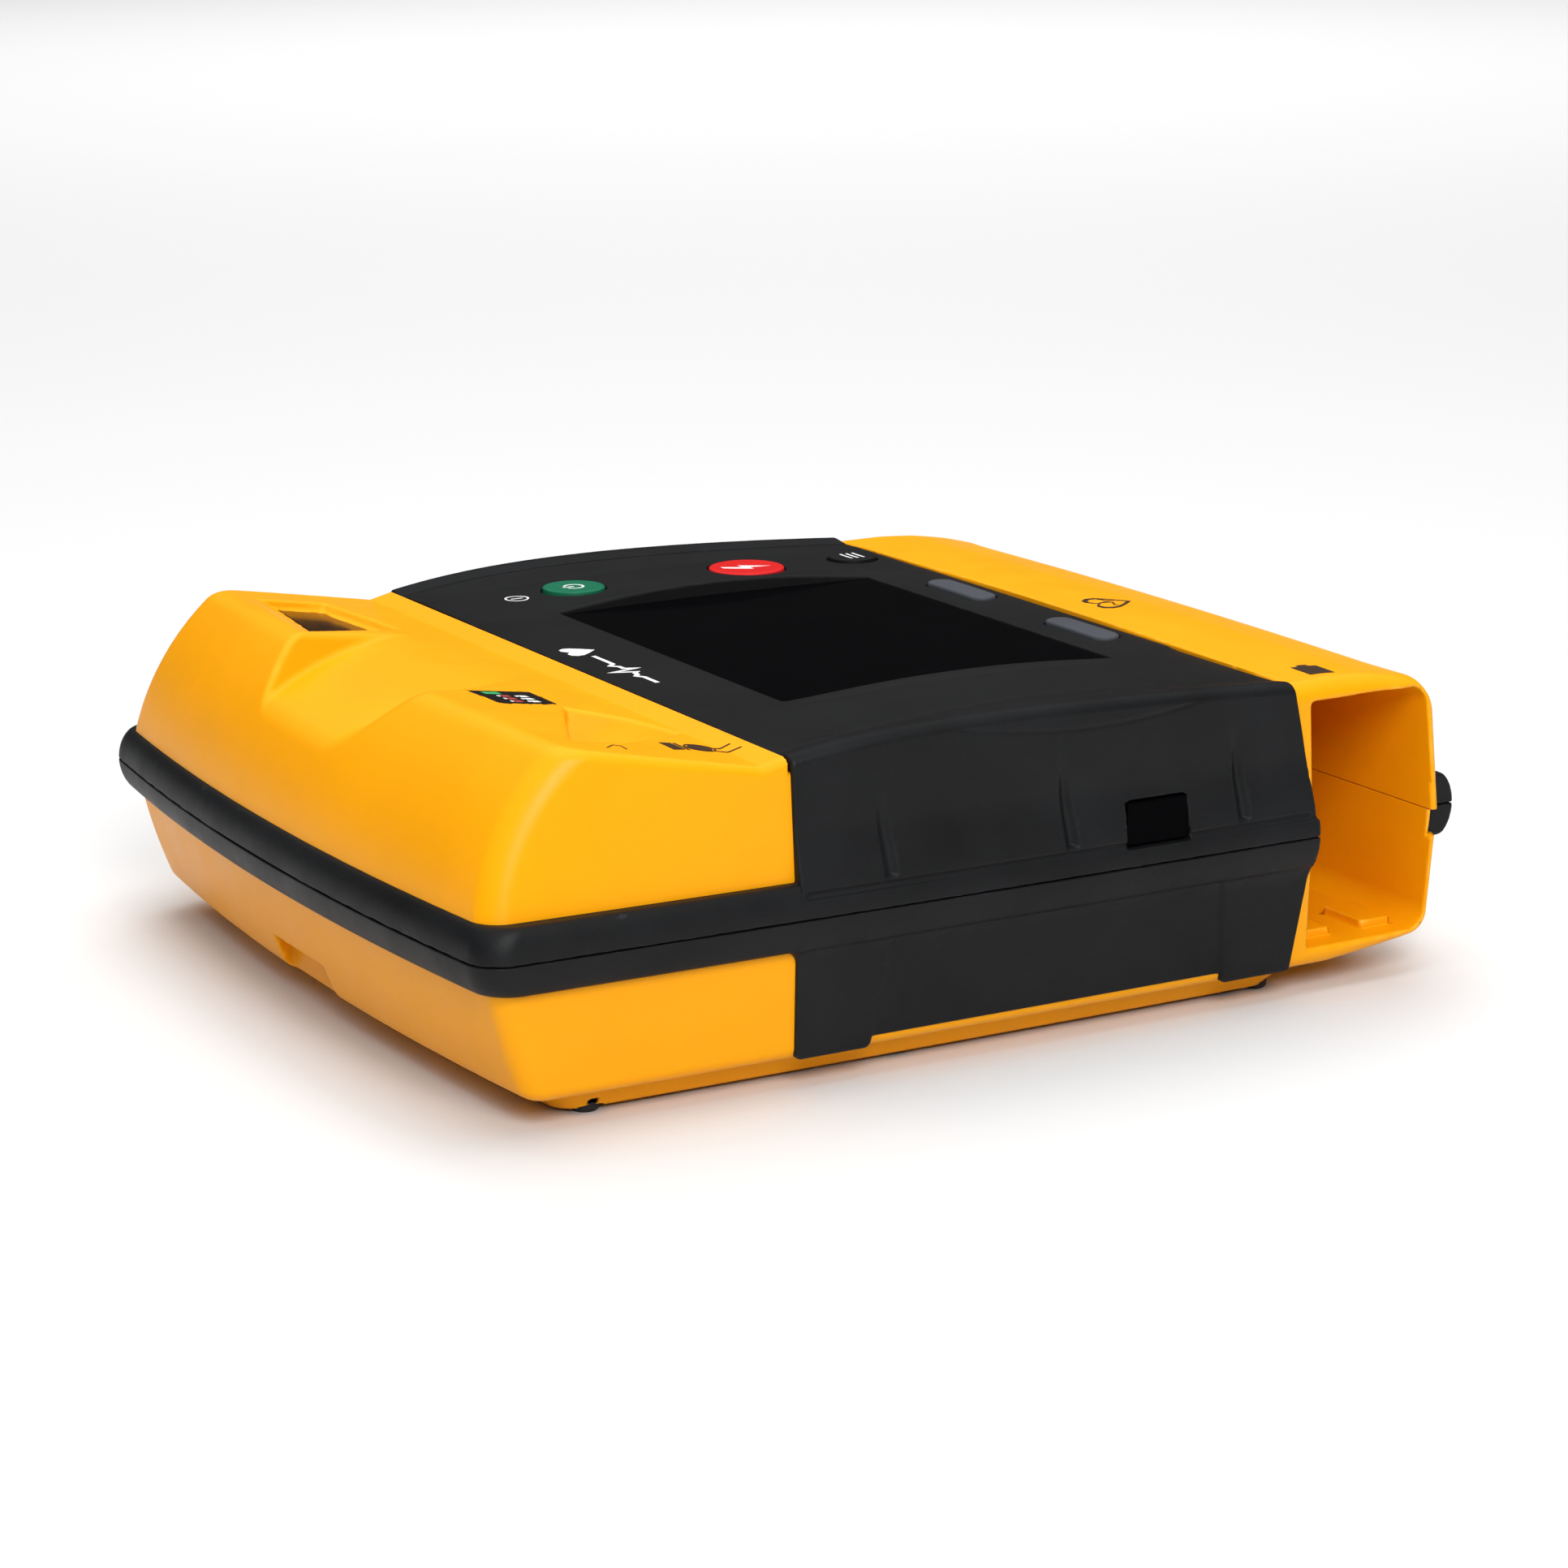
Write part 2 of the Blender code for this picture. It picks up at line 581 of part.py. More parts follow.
def make_rear_bumper(mat):
    band = bumper_blank("rear_bumper", BUMPER_BOTTOM_Z, SEAM_Z - BUMPER_SPLIT / 2, mat)
    legs = [(53.4, 38), (53.4, 8.2), (51.9, 7.2), (34.6, 7.2), (33.0, 9.8), (29.3, 27.0), (-63.5, 28.0),
            (-64.4, 9.8), (-67.6, 7.2), (-84.2, 7.2), (-85.5, 8.2), (-85.5, 38)]
    between = [(31.0, 30.0), (34.0, 9.8), (-65.0, 9.8), (-65.0, 30.0)]
    for side in (-1, 1):
        for outline, proud in ((legs, GRIP_PROUD), (between, GRIP_PROUD - 0.5)):
            ends = [[(x, y, z) for y, z in outline] for x in (side * 100, side * 125)]
            skin = new_object("side_panel", loft(ends))
            keep(skin, new_object("shape", body_solid((0.0, 8.0, 22.0, SEAM_Z - 1), proud)))
            join(band, skin)
    cut(band, new_object("core", body_solid((2.0, 12.0, 22.0, 32.0, SEAM_Z, SEAM_Z + 8), GAP)))
    cut(band, new_object("mouth", box((-130, -142, 30), (-106.3, PANEL_BOTTOM_Y, 90))))
    return tidy(band)


def make_feet(mat):
    number = 0
    for y in FOOT_Y:
        for x in (-FOOT_X, FOOT_X):
            number += 1
            profile = [(FOOT_RADIUS - 0.8, 0.0), (FOOT_RADIUS - 0.2, 0.4), (FOOT_RADIUS, 1.0),
                       (FOOT_RADIUS, FOOT_TOP_Z)]
            smooth(new_object(f"foot_{number}", lathe(profile, (x, y), 24), mat, (x, y, 0)))


# ================================================================ front panel and window
def window_outline(grow=0.0):
    y_low, y_high = WINDOW_Y[0] - grow, WINDOW_Y[1] + grow
    middle, half = (y_low + y_high) / 2, (y_high - y_low) / 2
    right = []
    for i in range(9):
        y = y_low + (y_high - y_low) * i / 8
        right.append((WINDOW_HALF_X + grow + WINDOW_BULGE * (1 - ((y - middle) / half) ** 2), y))
    return right + [(-x, y) for x, y in reversed(right)]


def panel_section(y):
    low = WINDOW_TOP_Z + 0.3
    side = panel_z(y)
    top = [(PANEL_HALF_X, rail_z(y) - 0.9), (97, side + 0.5), (83.5, side), (70, side), (61, side - 0.2)]
    beside_window = WINDOW_Y[0] - 4 < y < WINDOW_Y[1] + 4
    inner = low if beside_window else low + 0.2
    top += [(56, inner), (28, inner), (0, inner)]
    mirrored = [(-x, z) for x, z in reversed(top[:-1])]
    points = top + mirrored + [(-PANEL_HALF_X, PANEL_FLOOR_Z + GAP), (PANEL_HALF_X, PANEL_FLOOR_Z + GAP)]
    return [(x, y, z) for x, z in points]


def make_front_panel(mat):
    low, high = PANEL_BOTTOM_Y + GAP, PANEL_TOP_Y - GAP
    stations = [low + (high - low) * i / 12 for i in range(13)]
    panel = new_object("front_panel", loft([panel_section(y) for y in stations]), mat)
    cut(panel, new_object("opening", prism(window_outline(GAP), 70, 90)))
    for y, radius in ((ON_OFF_Y, ON_OFF_RADIUS), (SHOCK_Y, SHOCK_RADIUS), (MENU_Y, MENU_RADIUS)):
        cut(panel, new_object("button_hole", lathe([(radius + GAP, 70), (radius + GAP, 90)], (BUTTON_X, y))))
    for x in (-SOFT_KEY_X, SOFT_KEY_X):
        hole = pill((x, SOFT_KEY_Y), SOFT_KEY_LENGTH + 2 * GAP, SOFT_KEY_WIDTH + 2 * GAP)
        cut(panel, new_object("key_hole", prism(hole, 70, 90)))
    return tidy(panel)


def make_windows(glass, smoke):
    new_object("display_window", prism(window_outline(), WINDOW_TOP_Z - WINDOW_THICK, WINDOW_TOP_Z), glass)
    x = (READINESS_WINDOW_X[0] + GAP, READINESS_WINDOW_X[1] - GAP)
    y = (READINESS_WINDOW_Y[0] + GAP, READINESS_WINDOW_Y[1] - GAP)
    new_object("readiness_window", tilted_box(x, y, READINESS_DEPTH + 2.2, READINESS_DEPTH + 0.2), smoke)
    outer = side_x(-43, 52, GRIP_PROUD - 0.1)
    low, high = INFRARED_Z[0] + GAP, INFRARED_Z[1] - GAP
    corners = ((INFRARED_Y[0] + GAP, low), (INFRARED_Y[1] - GAP, low), (INFRARED_Y[1] - GAP - 0.5, high),
               (INFRARED_Y[0] + GAP + 0.7, high))
    pane = loft([[(-x, y, z) for y, z in corners] for x in (outer, outer - 2.6)])
    new_object("infrared_window", pane, glass)


# ================================================================ buttons
def round_button(name, y, radius, mat, top_radius_cut=0.6):
    top = panel_z(y) + BUTTON_PROUD
    low = FLANGE_TOP_Z - FLANGE_THICK
    profile = [(3.0, STEM_BOTTOM_Z), (3.0, low), (radius + FLANGE, low), (radius + FLANGE, FLANGE_TOP_Z),
               (radius, FLANGE_TOP_Z), (radius, top - top_radius_cut), (radius - top_radius_cut, top)]
    return smooth(new_object(name, lathe(profile, (BUTTON_X, y), 36), mat, (BUTTON_X, y, FLANGE_TOP_Z)))


def soft_key(name, x, mat):
    top = WINDOW_TOP_Z + 1.5
    low = FLANGE_TOP_Z - FLANGE_THICK
    length, width = SOFT_KEY_LENGTH, SOFT_KEY_WIDTH
    steps = ((length - 18, width - 3, STEM_BOTTOM_Z), (length - 18, width - 3, low),
             (length + 2 * FLANGE, width + 2 * FLANGE, low),
             (length + 2 * FLANGE, width + 2 * FLANGE, FLANGE_TOP_Z),
             (length, width, FLANGE_TOP_Z), (length, width, top - 0.5), (length - 1.2, width - 1.2, top))
    rings = [[(px, py, z) for px, py in pill((x, SOFT_KEY_Y), a, b)] for a, b, z in steps]
    return smooth(new_object(name, loft(rings), mat, (x, SOFT_KEY_Y, FLANGE_TOP_Z)))


def make_buttons(green, red, black, grey, steel):
    round_button("on_off_button", ON_OFF_Y, ON_OFF_RADIUS, green)
    round_button("shock_button", SHOCK_Y, SHOCK_RADIUS, red)
    round_button("menu_button", MENU_Y, MENU_RADIUS, black)
    soft_key("soft_key_left", -SOFT_KEY_X, grey)
    soft_key("soft_key_right", SOFT_KEY_X, grey)
    places = {"on": (BUTTON_X, ON_OFF_Y), "shock": (BUTTON_X, SHOCK_Y), "menu": (BUTTON_X, MENU_Y),
              "left": (-SOFT_KEY_X, SOFT_KEY_Y), "right": (SOFT_KEY_X, SOFT_KEY_Y)}
    for label, (x, y) in places.items():
        top = DOME_TOP_Z
        profile = [(3.4, BOARD_Z[1] + GAP), (3.4, top - 1.0), (2.6, top - 0.3), (1.4, top)]
        new_object(f"dome_switch_{label}", lathe(profile, (x, y), 12), steel)


# ================================================================ inside the case
def make_display(metal, dark, grey):
    new_object("display_module", box((-63.5, -68.2, 66.0), (63.5, 28.2, 74.5)), dark)
    tray = new_object("display_bracket", box((-66.5, -70.6, 63.0), (66.5, 30.6, 71.0)), metal)
    cut(tray, new_object("bed", box((-64.0, -68.7, 65.7), (64.0, 28.7, 80.0))))
    cut(tray, new_object("vent", box((-40.0, -50.0, 60.0), (40.0, 12.0, 70.0))))
    new_object("readiness_display", tilted_box((55.5, 86.5), (84.0, 95.0), 7.5, READINESS_DEPTH + 2.6), grey)


def make_boards(board, chip):
    arm = [(-50, -84.5), (93, -84.5), (93, 24), (71, 24), (71, -71.4), (-50, -71.4)]
    new_object("key_board", prism(arm, *BOARD_Z), board)
    outline = [(-90, -74), (88, -74), (88, 96), (-50, 96), (-50, 84), (-90, 84)]
    new_object("main_board", prism(outline, 46.0, 47.6), board)
    new_object("infrared_transceiver", box((-107.2, -50.5, 48.5), (-103.2, -36.5, 56.0)), chip)


def make_power_parts(mats):
    """High-voltage parts under the main board."""
    can = new_object("shock_capacitor", rod((-58.0, 27.0), "y", 15.5, -48.0, 40.0), mats["can"])
    smooth(can)
    core = new_object("charging_transformer", box((-14, 24, 12), (22, 56, 38)), mats["ferrite"])
    join(core, new_object("winding", rod((4, 25), "y", 12.2, 26.0, 54.0, 20)))
    new_object("transfer_relay", box((-12, -24, 12), (20, 4, 34)), mats["relay"])
    new_object("switching_module", box((36, -44, 12), (76, 2, 22)), mats["relay"])
    sink = new_object("heat_sink", box((36, -44, 22 + GAP), (76, 2, 36)), mats["metal"])
    for i in range(6):
        x = 39.5 + 6.4 * i
        cut(sink, new_object("fin_gap", box((x, -50, 26), (x + 4.0, 10, 40))))
    profile = [(8, 11.0), (18, 12.0), (18, 14.0), (15, 19.0), (9, 21.0), (9, 25.0), (5, 25.0)]
    smooth(new_object("speaker", lathe(profile, (51, 73), 28), mats["relay"]))
    smooth(new_object("backup_cell", lathe([(10, 47.9), (10, 51.1)], (-70, 20), 28), mats["metal"]))


def make_chassis(mat):
    """Plastic plate between the boards and the high-voltage parts."""
    plate = new_object("chassis", box((-92, -78, 42.6), (92, 98, 45.4)), mat)
    cut(plate, new_object("window", box((-30, -60, 40), (30, 70, 50))))
    for x, y in SCREW_PLACES:
        cut(plate, screw_post(x, y, 40, 50, 5.0))
    return plate


def make_electrode_socket(black, brass):
    new_object("electrode_socket", socket_block(0.6), black)
    middle = sum(SOCKET_X) / 2
    height = sum(SOCKET_Z) / 2
    for number, x in enumerate((middle - 4.5, middle + 4.5), 1):
        face = socket_wall_y(x + 1.2)
        new_object(f"electrode_pin_{number}", rod((x, height), "y", 1.2, face - 5.0, face + 0.3, 12), brass)


def make_battery_contacts(black, brass):
    front = BAY_X[1] - 8.0
    new_object("battery_contact_block", box((front, -117.0, 24.0), (BAY_X[1] - GAP, -99.0, 56.0)), black)
    for number in range(4):
        z = 28.5 + 7.2 * number
        blade = box((front - 6.0, -112.0, z), (front - GAP, -104.0, z + 1.2))
        new_object(f"battery_contact_{number + 1}", blade, brass)


def make_seal(mat):
    seal = tidy(seal_ring("case_seal", 0.0, SEAM_Z - 1.0, SEAM_Z + 1.0))
    seal.data.materials.append(mat)


def make_screws(steel):
    for number, (x, y) in enumerate(SCREW_PLACES, 1):
        seat = SCREW_SEAT_Z - GAP
        head = SCREW_HEAD_RADIUS
        profile = [(1.6, seat - 3.4), (head - 0.4, seat - 3.4), (head, seat - 2.6), (head, seat),
                   (SCREW_RADIUS, seat), (SCREW_RADIUS, 58.0), (0.6, 60.0)]
        smooth(new_object(f"case_screw_{number}", lathe(profile, (x, y), 16), steel, (x, y, 0)))


def make_label_and_cable(label, ribbon):
    x = (LABEL_X[0] + GAP, LABEL_X[1] - GAP)
    y = (LABEL_Y[0] + GAP, LABEL_Y[1] - GAP)
    new_object("instruction_label", tilted_box(x, y, 0.4, 0.0), label)
    path = [(34, 62.6), (38, 62.6), (38, 48.0), (34, 48.0),
            (34, 48.5), (37.5, 48.5), (37.5, 62.1), (34, 62.1)]
    new_object("ribbon_cable", loft([[(x, y, z) for y, z in path] for x in (-18, 18)]), ribbon)


def build():
    clear_scene()
    yellow = material("yellow_plastic", YELLOW, 0.38)
    rubber = material("black_rubber", RUBBER, 0.62)
    black = material("black_plastic", (0.018, 0.018, 0.02), 0.45)
    glass = material("dark_glass", (0.004, 0.004, 0.005), 0.06)
    smoke = material("smoked_window", (0.10, 0.05, 0.03), 0.08)
    metal = material("steel", (0.55, 0.56, 0.58), 0.35, 1.0)
    brass = material("contact_brass", (0.72, 0.52, 0.22), 0.3, 1.0)
    board = material("circuit_board", (0.02, 0.16, 0.07), 0.5)
    dark = material("display_dark", (0.05, 0.06, 0.06), 0.3)
    grey = material("key_grey", (0.07, 0.075, 0.085), 0.5)
    make_front_case(yellow)
    make_rear_case(yellow)
    make_front_bumper(rubber)
    make_rear_bumper(rubber)
    make_feet(rubber)
    make_front_panel(black)
    make_windows(glass, smoke)
    green = material("green_button", (0.01, 0.20, 0.09), 0.4)
    red = material("red_button", (0.75, 0.02, 0.02), 0.4)
    make_buttons(green, red, black, grey, metal)
    make_display(metal, dark, grey)
    make_boards(board, black)
    make_power_parts({"can": dark, "ferrite": black, "relay": black, "metal": metal})
    make_chassis(black)
    make_electrode_socket(black, brass)
    make_battery_contacts(black, brass)
    make_seal(rubber)
    make_screws(metal)
    make_label_and_cable(dark, grey)


build()
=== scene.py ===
"""Looks of a portable defibrillator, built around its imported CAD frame.

The shells are smooth solids described by signed distance functions in millimetres:
negative inside, positive outside. surface_mesh() turns such a function into a mesh
with exact normals. The buttons and feet are turned profiles, and the printed symbols
are thin slabs laid on the surfaces under them. Up is +z, and the device lies on its
back: +y is its top end, and -x its left side with the mouth of the battery bay.
"""
import math
from functools import reduce

import bmesh
import bpy
import numpy as np
from mathutils import Matrix, Vector


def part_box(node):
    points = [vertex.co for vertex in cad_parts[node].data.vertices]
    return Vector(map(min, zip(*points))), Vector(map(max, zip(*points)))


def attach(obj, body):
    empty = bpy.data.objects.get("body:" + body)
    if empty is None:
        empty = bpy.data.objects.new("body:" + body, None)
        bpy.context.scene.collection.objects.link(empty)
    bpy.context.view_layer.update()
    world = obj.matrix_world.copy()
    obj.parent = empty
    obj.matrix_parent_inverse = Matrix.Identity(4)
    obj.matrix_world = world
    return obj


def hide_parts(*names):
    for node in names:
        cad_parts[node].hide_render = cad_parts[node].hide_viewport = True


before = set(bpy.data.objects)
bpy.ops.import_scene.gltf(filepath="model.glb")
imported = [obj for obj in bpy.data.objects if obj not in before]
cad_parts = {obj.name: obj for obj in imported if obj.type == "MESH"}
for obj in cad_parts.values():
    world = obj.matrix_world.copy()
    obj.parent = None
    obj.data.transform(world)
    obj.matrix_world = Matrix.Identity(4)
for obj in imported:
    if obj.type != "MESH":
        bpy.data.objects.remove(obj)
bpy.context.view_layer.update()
MM = 0.001

# ---- body form, as in the CAD source
SEAM_Z = 41.5  # parting line of the two case halves
SEAM_GAP = 0.05  # half the gap between the yellow halves
RUBBER_GAP = 0.15  # half the gap between the two bumpers
HALF_WIDTH = 112.9
FRONT_DRAFT = 0.015
REAR_DRAFT = 0.045
BOW_Y = -21.0  # station of the sides' widest point
SIDE_BOW = 0.00007
SIDE_BOW_GROWTH = 0.0000094
TOP_BOW = 0.0005
ARC_RADIUS = 60.0  # rounded top end of the front case
ARC_Y = 75.6
ARC_Z = 38.0
BOTTOM_REACH = 132.4
REAR_TOP = 134.2
CORNER_TOP = 5.0
CORNER_BOTTOM = 7.0
CORNER_RAMP = 14.0  # half width over which an edge grows towards a corner
SKIN = 1.6  # step of the case under its rubber
PANEL_TOP_Y = 53.4
PANEL_BOTTOM_Y = -85.5
PANEL_GAP = 0.3
PANEL_UNDER_Z = 74.6  # floor of the pit that takes the panel
PANEL_HALF_X = 103.0
RAIL_PEAK_Z = 82.2
RAIL_PEAK_Y = -7.0
FACE_Z = 78.0
VALLEY_Y = 59.8
VALLEY_Z = 76.5
HUMP_SLOPE = 0.19
HUMP_END_Y = 110.0
GRIP_PROUD = 1.1
GRIP_FLARE = 1.9
BETWEEN_PROUD = 0.62  # rubber skin between the legs
LEG_BOTTOM_Z = 7.3
SKIN_BOTTOM_Z = 9.9
LEG_SKIN_Y = (-66.0, 34.0)  # the skin between the two legs
RUBBER_END = ((4, -85.2), (8, -85.2), (19, -87.2), (32, -89.6), (39, -90.2), (45, -90.3),
              (57, -89.0), (66, -87.6), (79, -85.2), (84, -85.2))
THUMB_GROOVES = ((30.4, 1.1), (-18.4, 1.6), (-67.6, 1.5))  # station and depth
CREASE_Z = 46.9
BUMPER_PROUD = 4.1
BUMPER_END_PROUD = 6.0
BUMPER_TOP_Z = 49.5
BUMPER_BOTTOM_Z = 33.6
BUTTON_X = 82.5
ON_OFF_Y, ON_OFF_RADIUS = 11.5, 8.75
SHOCK_Y, SHOCK_RADIUS = -41.5, 10.75
MENU_Y, MENU_RADIUS = -75.2, 7.0
WELLS = ((BUTTON_X, ON_OFF_Y, ON_OFF_RADIUS), (BUTTON_X, SHOCK_Y, SHOCK_RADIUS),
         (BUTTON_X, MENU_Y, MENU_RADIUS))
CAP_PROUD = 0.85
CAP_DISH = 0.16
FLANGE_Z = (73.3, 74.3)  # retaining flanges of the caps and keys
STEM_LOW_Z = 71.8
SOFT_KEYS = (-29.3, 29.3)
SOFT_KEY_Y = -78.1
SOFT_KEY_TOP_Z = 78.9
WINDOW_Y = (-66.5, 26.5)
WINDOW_HALF_X = 60.0
WINDOW_BULGE = 2.5
WINDOW_TOP_Z = 77.4
BAY_Y = (-128.6, -91.0)
BAY_Z = (11.8, 73.4)
BAY_END_X = 99.0
INFRARED_Y = (-52.5, -34.5)
INFRARED_Z = (45.8, 56.9)
INFRARED_SLOPE = 0.04
SIDE_X = 100.0  # beyond it lie the two sides
SCREWS = ((-84, 108), (84, 108), (-98, 20), (98, 20), (-98, -74), (98, -74))
FEET = ((-98, -84), (98, -84), (-98, 100), (98, 100))
FOOT_PROFILE = ((2.3, 0.0), (2.8, 0.06), (3.15, 0.25), (3.4, 0.6), (3.55, 1.1), (3.6, 1.7), (3.6, 4.2))
PIT_RADIUS = 3.5  # round the screw heads
POST_RADIUS = 4.6
PLATEAU_Z = 1.2  # raised bed under the rear case
PLATEAU_SLOPE = 0.56
PLATEAU_HALF_X = 102.5
PLATEAU_Y = (-89.5, 112.6)
SPEAKER_SLOTS = 5


# ---- distance helpers
def round_and(a, b, radius):
    """Intersection of two solids with a rounded outer edge."""
    inner = np.hypot(np.maximum(a + radius, 0), np.maximum(b + radius, 0))
    return inner + np.minimum(np.maximum(a, b), -radius)


def round_or(a, b, radius):
    """Union of two solids with a filleted inner edge."""
    inner = np.hypot(np.maximum(radius - a, 0), np.maximum(radius - b, 0))
    return np.maximum(np.minimum(a, b), radius) - inner


def round_cut(a, b, radius):
    """The first solid without the second, with a rounded outer edge."""
    return round_and(a, -b, radius)


def meet(*solids):
    """Intersection with sharp edges."""
    return reduce(np.maximum, solids)


def join(*solids):
    """Union with sharp edges."""
    return reduce(np.minimum, solids)


def cut(solid, *others):
    """The first solid without the others, with sharp edges."""
    return meet(solid, *(-other for other in others))


def span(value, low, high):
    """Distance to a slab."""
    return np.maximum(low - value, value - high)


def ramp(value, low, high):
    """Smooth step from 0 at low to 1 at high."""
    share = np.clip((value - low) / (high - low), 0, 1)
    return share * share * (3 - 2 * share)


def plane(p, q, r, inside):
    """Distance to the plane through three points, negative on the side of a fourth."""
    p, q, r, inside = (np.array(v, float) for v in (p, q, r, inside))
    normal = np.cross(q - p, r - p)
    normal /= np.linalg.norm(normal)
    if normal @ (inside - p) > 0:
        normal = -normal
    return lambda x, y, z: normal[0] * (x - p[0]) + normal[1] * (y - p[1]) + normal[2] * (z - p[2])


def smooth_table(points, width, step=0.25):
    """Height table through points, with its corners eased over a width."""
    xs = np.array([p[0] for p in points], float)
    zs = np.array([p[1] for p in points], float)
    grid = np.arange(xs.min() - 20, xs.max() + 20, step)
    values = np.interp(grid, xs, zs)
    low, high = grid < xs.min(), grid > xs.max()
    values[low] = zs[0] + (grid[low] - xs[0]) * (zs[1] - zs[0]) / (xs[1] - xs[0])
    values[high] = zs[-1] + (grid[high] - xs[-1]) * (zs[-1] - zs[-2]) / (xs[-1] - xs[-2])
    count = max(1, int(width / step / 2))
    kernel = np.hanning(2 * count + 3)
    kernel /= kernel.sum()
    padded = np.pad(values, count + 1, mode="reflect", reflect_type="odd")
    return grid, np.convolve(padded, kernel, mode="valid")


def look_up(table, value):
    """Height in a table at a station."""
    return np.interp(value, table[0], table[1])


# ---- meshing
def grid_lines(low, high, coarse, *fine):
    """Grid coordinates, closer together inside the (start, end, step) spans."""
    values = [low]
    while values[-1] < high:
        step = coarse
        for start, end, small in fine:
            if start - coarse < values[-1] + step * 0.5 and values[-1] < end:
                step = min(step, small)
        values.append(values[-1] + step)
    return np.array(values)


def gradient(field, p, reach=0.04):
    """Gradient of a field at points, by central differences."""
    g = np.empty_like(p)
    for axis in range(3):
        ahead, behind = p.copy(), p.copy()
        ahead[:, axis] += reach
        behind[:, axis] -= reach
        g[:, axis] = (field(*ahead.T) - field(*behind.T)) / (2 * reach)
    return g


def surface_mesh(name, field, xs, ys, zs, snap=3):
    """Mesh of a field's zero surface: one vertex a cell (surface nets), moved onto the surface."""
    shape = (len(xs), len(ys), len(zs))
    values = np.empty(shape, np.float32)
    for i in range(0, shape[0], 24):
        x, y, z = np.meshgrid(xs[i:i + 24], ys, zs, indexing="ij")
        values[i:i + 24] = field(x, y, z)
    inside = values < 0
    cells = tuple(n - 1 for n in shape)
    sums, ids, quads = [], [], []
    coords = (xs, ys, zs)
    for axis in range(3):
        first = [slice(None)] * 3
        second = [slice(None)] * 3
        first[axis], second[axis] = slice(0, -1), slice(1, None)
        a, b = inside[tuple(first)], inside[tuple(second)]
        at = np.argwhere(a != b)
        nxt = at.copy()
        nxt[:, axis] += 1
        fa = values[tuple(at.T)].astype(float)
        fb = values[tuple(nxt.T)].astype(float)
        t = fa / (fa - fb)
        point = np.stack([coords[k][at[:, k]] for k in range(3)], 1)
        point[:, axis] += t * (coords[axis][nxt[:, axis]] - coords[axis][at[:, axis]])
        u, v = (axis + 1) % 3, (axis + 2) % 3
        around = []
        for du, dv in ((0, 0), (1, 0), (1, 1), (0, 1)):
            cell = at.copy()
            cell[:, u] -= du
            cell[:, v] -= dv
            flat = np.ravel_multi_index(np.clip(cell, 0, np.array(cells) - 1).T, cells)
            around.append(flat)
            ids.append(flat)
            sums.append(point)
        ring = np.stack(around, 1)
        flip = b[tuple(at.T)]
        ring[flip] = ring[flip][:, ::-1]
        quads.append(ring)
    ids = np.concatenate(ids)
    sums = np.concatenate(sums)
    unique, index = np.unique(ids, return_inverse=True)
    count = np.bincount(index)
    points = np.stack([np.bincount(index, sums[:, k]) / count for k in range(3)], 1)
    faces = np.searchsorted(unique, np.concatenate(quads))
    cell = np.stack(np.unravel_index(unique, cells), 1)
    low = np.stack([coords[k][cell[:, k]] for k in range(3)], 1)
    high = np.stack([coords[k][cell[:, k] + 1] for k in range(3)], 1)
    slack = (high - low) * 0.45
    for _ in range(snap):
        g = gradient(field, points)
        square = np.maximum((g * g).sum(1), 1e-6)
        points = points - g * (field(*points.T) / square)[:, None]
        points = np.clip(points, low - slack, high + slack)
    g = gradient(field, points)
    normals = g / np.maximum(np.linalg.norm(g, axis=1), 1e-9)[:, None]
    return build_mesh(name, points * MM, faces, normals)


def build_mesh(name, points, faces, normals=None):
    """Object from arrays of points and quads."""
    mesh = bpy.data.meshes.new(name)
    mesh.vertices.add(len(points))
    mesh.vertices.foreach_set("co", points.astype(np.float32).ravel())
    mesh.loops.add(faces.size)
    mesh.loops.foreach_set("vertex_index", faces.astype(np.int32).ravel())
    mesh.polygons.add(len(faces))
    mesh.polygons.foreach_set("loop_start", np.arange(0, faces.size, faces.shape[1], dtype=np.int32))
    mesh.update(calc_edges=True)
    mesh.validate()
    mesh.shade_smooth()
    if normals is not None and len(mesh.vertices) == len(normals):
        mesh.normals_split_custom_set_from_vertices(normals.tolist())
    obj = bpy.data.objects.new(name, mesh)
    bpy.context.scene.collection.objects.link(obj)
    return obj


def dress(obj, mat, body="case", nodes=()):
    """Material, body, slot and replaced nodes of a piece."""
    obj.data.materials.clear()
    obj.data.materials.append(mat)
    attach(obj, body)
    if nodes:
        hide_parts(*nodes)
    return obj


def skin(name, field, lines, mat, node, body="case"):
    """A meshed field that stands for a CAD node; lines are its grid's three axes."""
    return dress(surface_mesh(name, field, *lines), mat, body, (node,))


# ---- body
def side_half(y, z):
    """Half width of the case at a station and height."""
    rise = np.maximum(z - SEAM_Z, 0)
    drop = np.maximum(SEAM_Z - z, 0)
    bow = SIDE_BOW + SIDE_BOW_GROWTH * rise
    return HALF_WIDTH - FRONT_DRAFT * rise - REAR_DRAFT * drop - bow * (y - BOW_Y) ** 2


def top_front(x, y, z):
    """Distance to the rounded top end of the front case."""
    along = np.maximum(y - ARC_Y + TOP_BOW * x * x, 0)
    return np.hypot(along, np.maximum(z - ARC_Z, 0)) - ARC_RADIUS


def rear_top_reach(z):
    """Station of the rear case's top end, which draws in towards the underside."""
    drop = np.maximum(SEAM_Z - z, 0)
    return REAR_TOP - 0.12 * drop - 0.0045 * drop * drop


def front_body(x, y, z, out=0.0):
    """Walls of the front case, moved outwards by a distance."""
    side = np.abs(x) - side_half(y, z) - out
    top = top_front(x, y, z) - out
    bottom = -y - BOTTOM_REACH - out
    body = round_and(side, top, CORNER_TOP + out)
    return round_and(body, bottom, CORNER_BOTTOM + out)


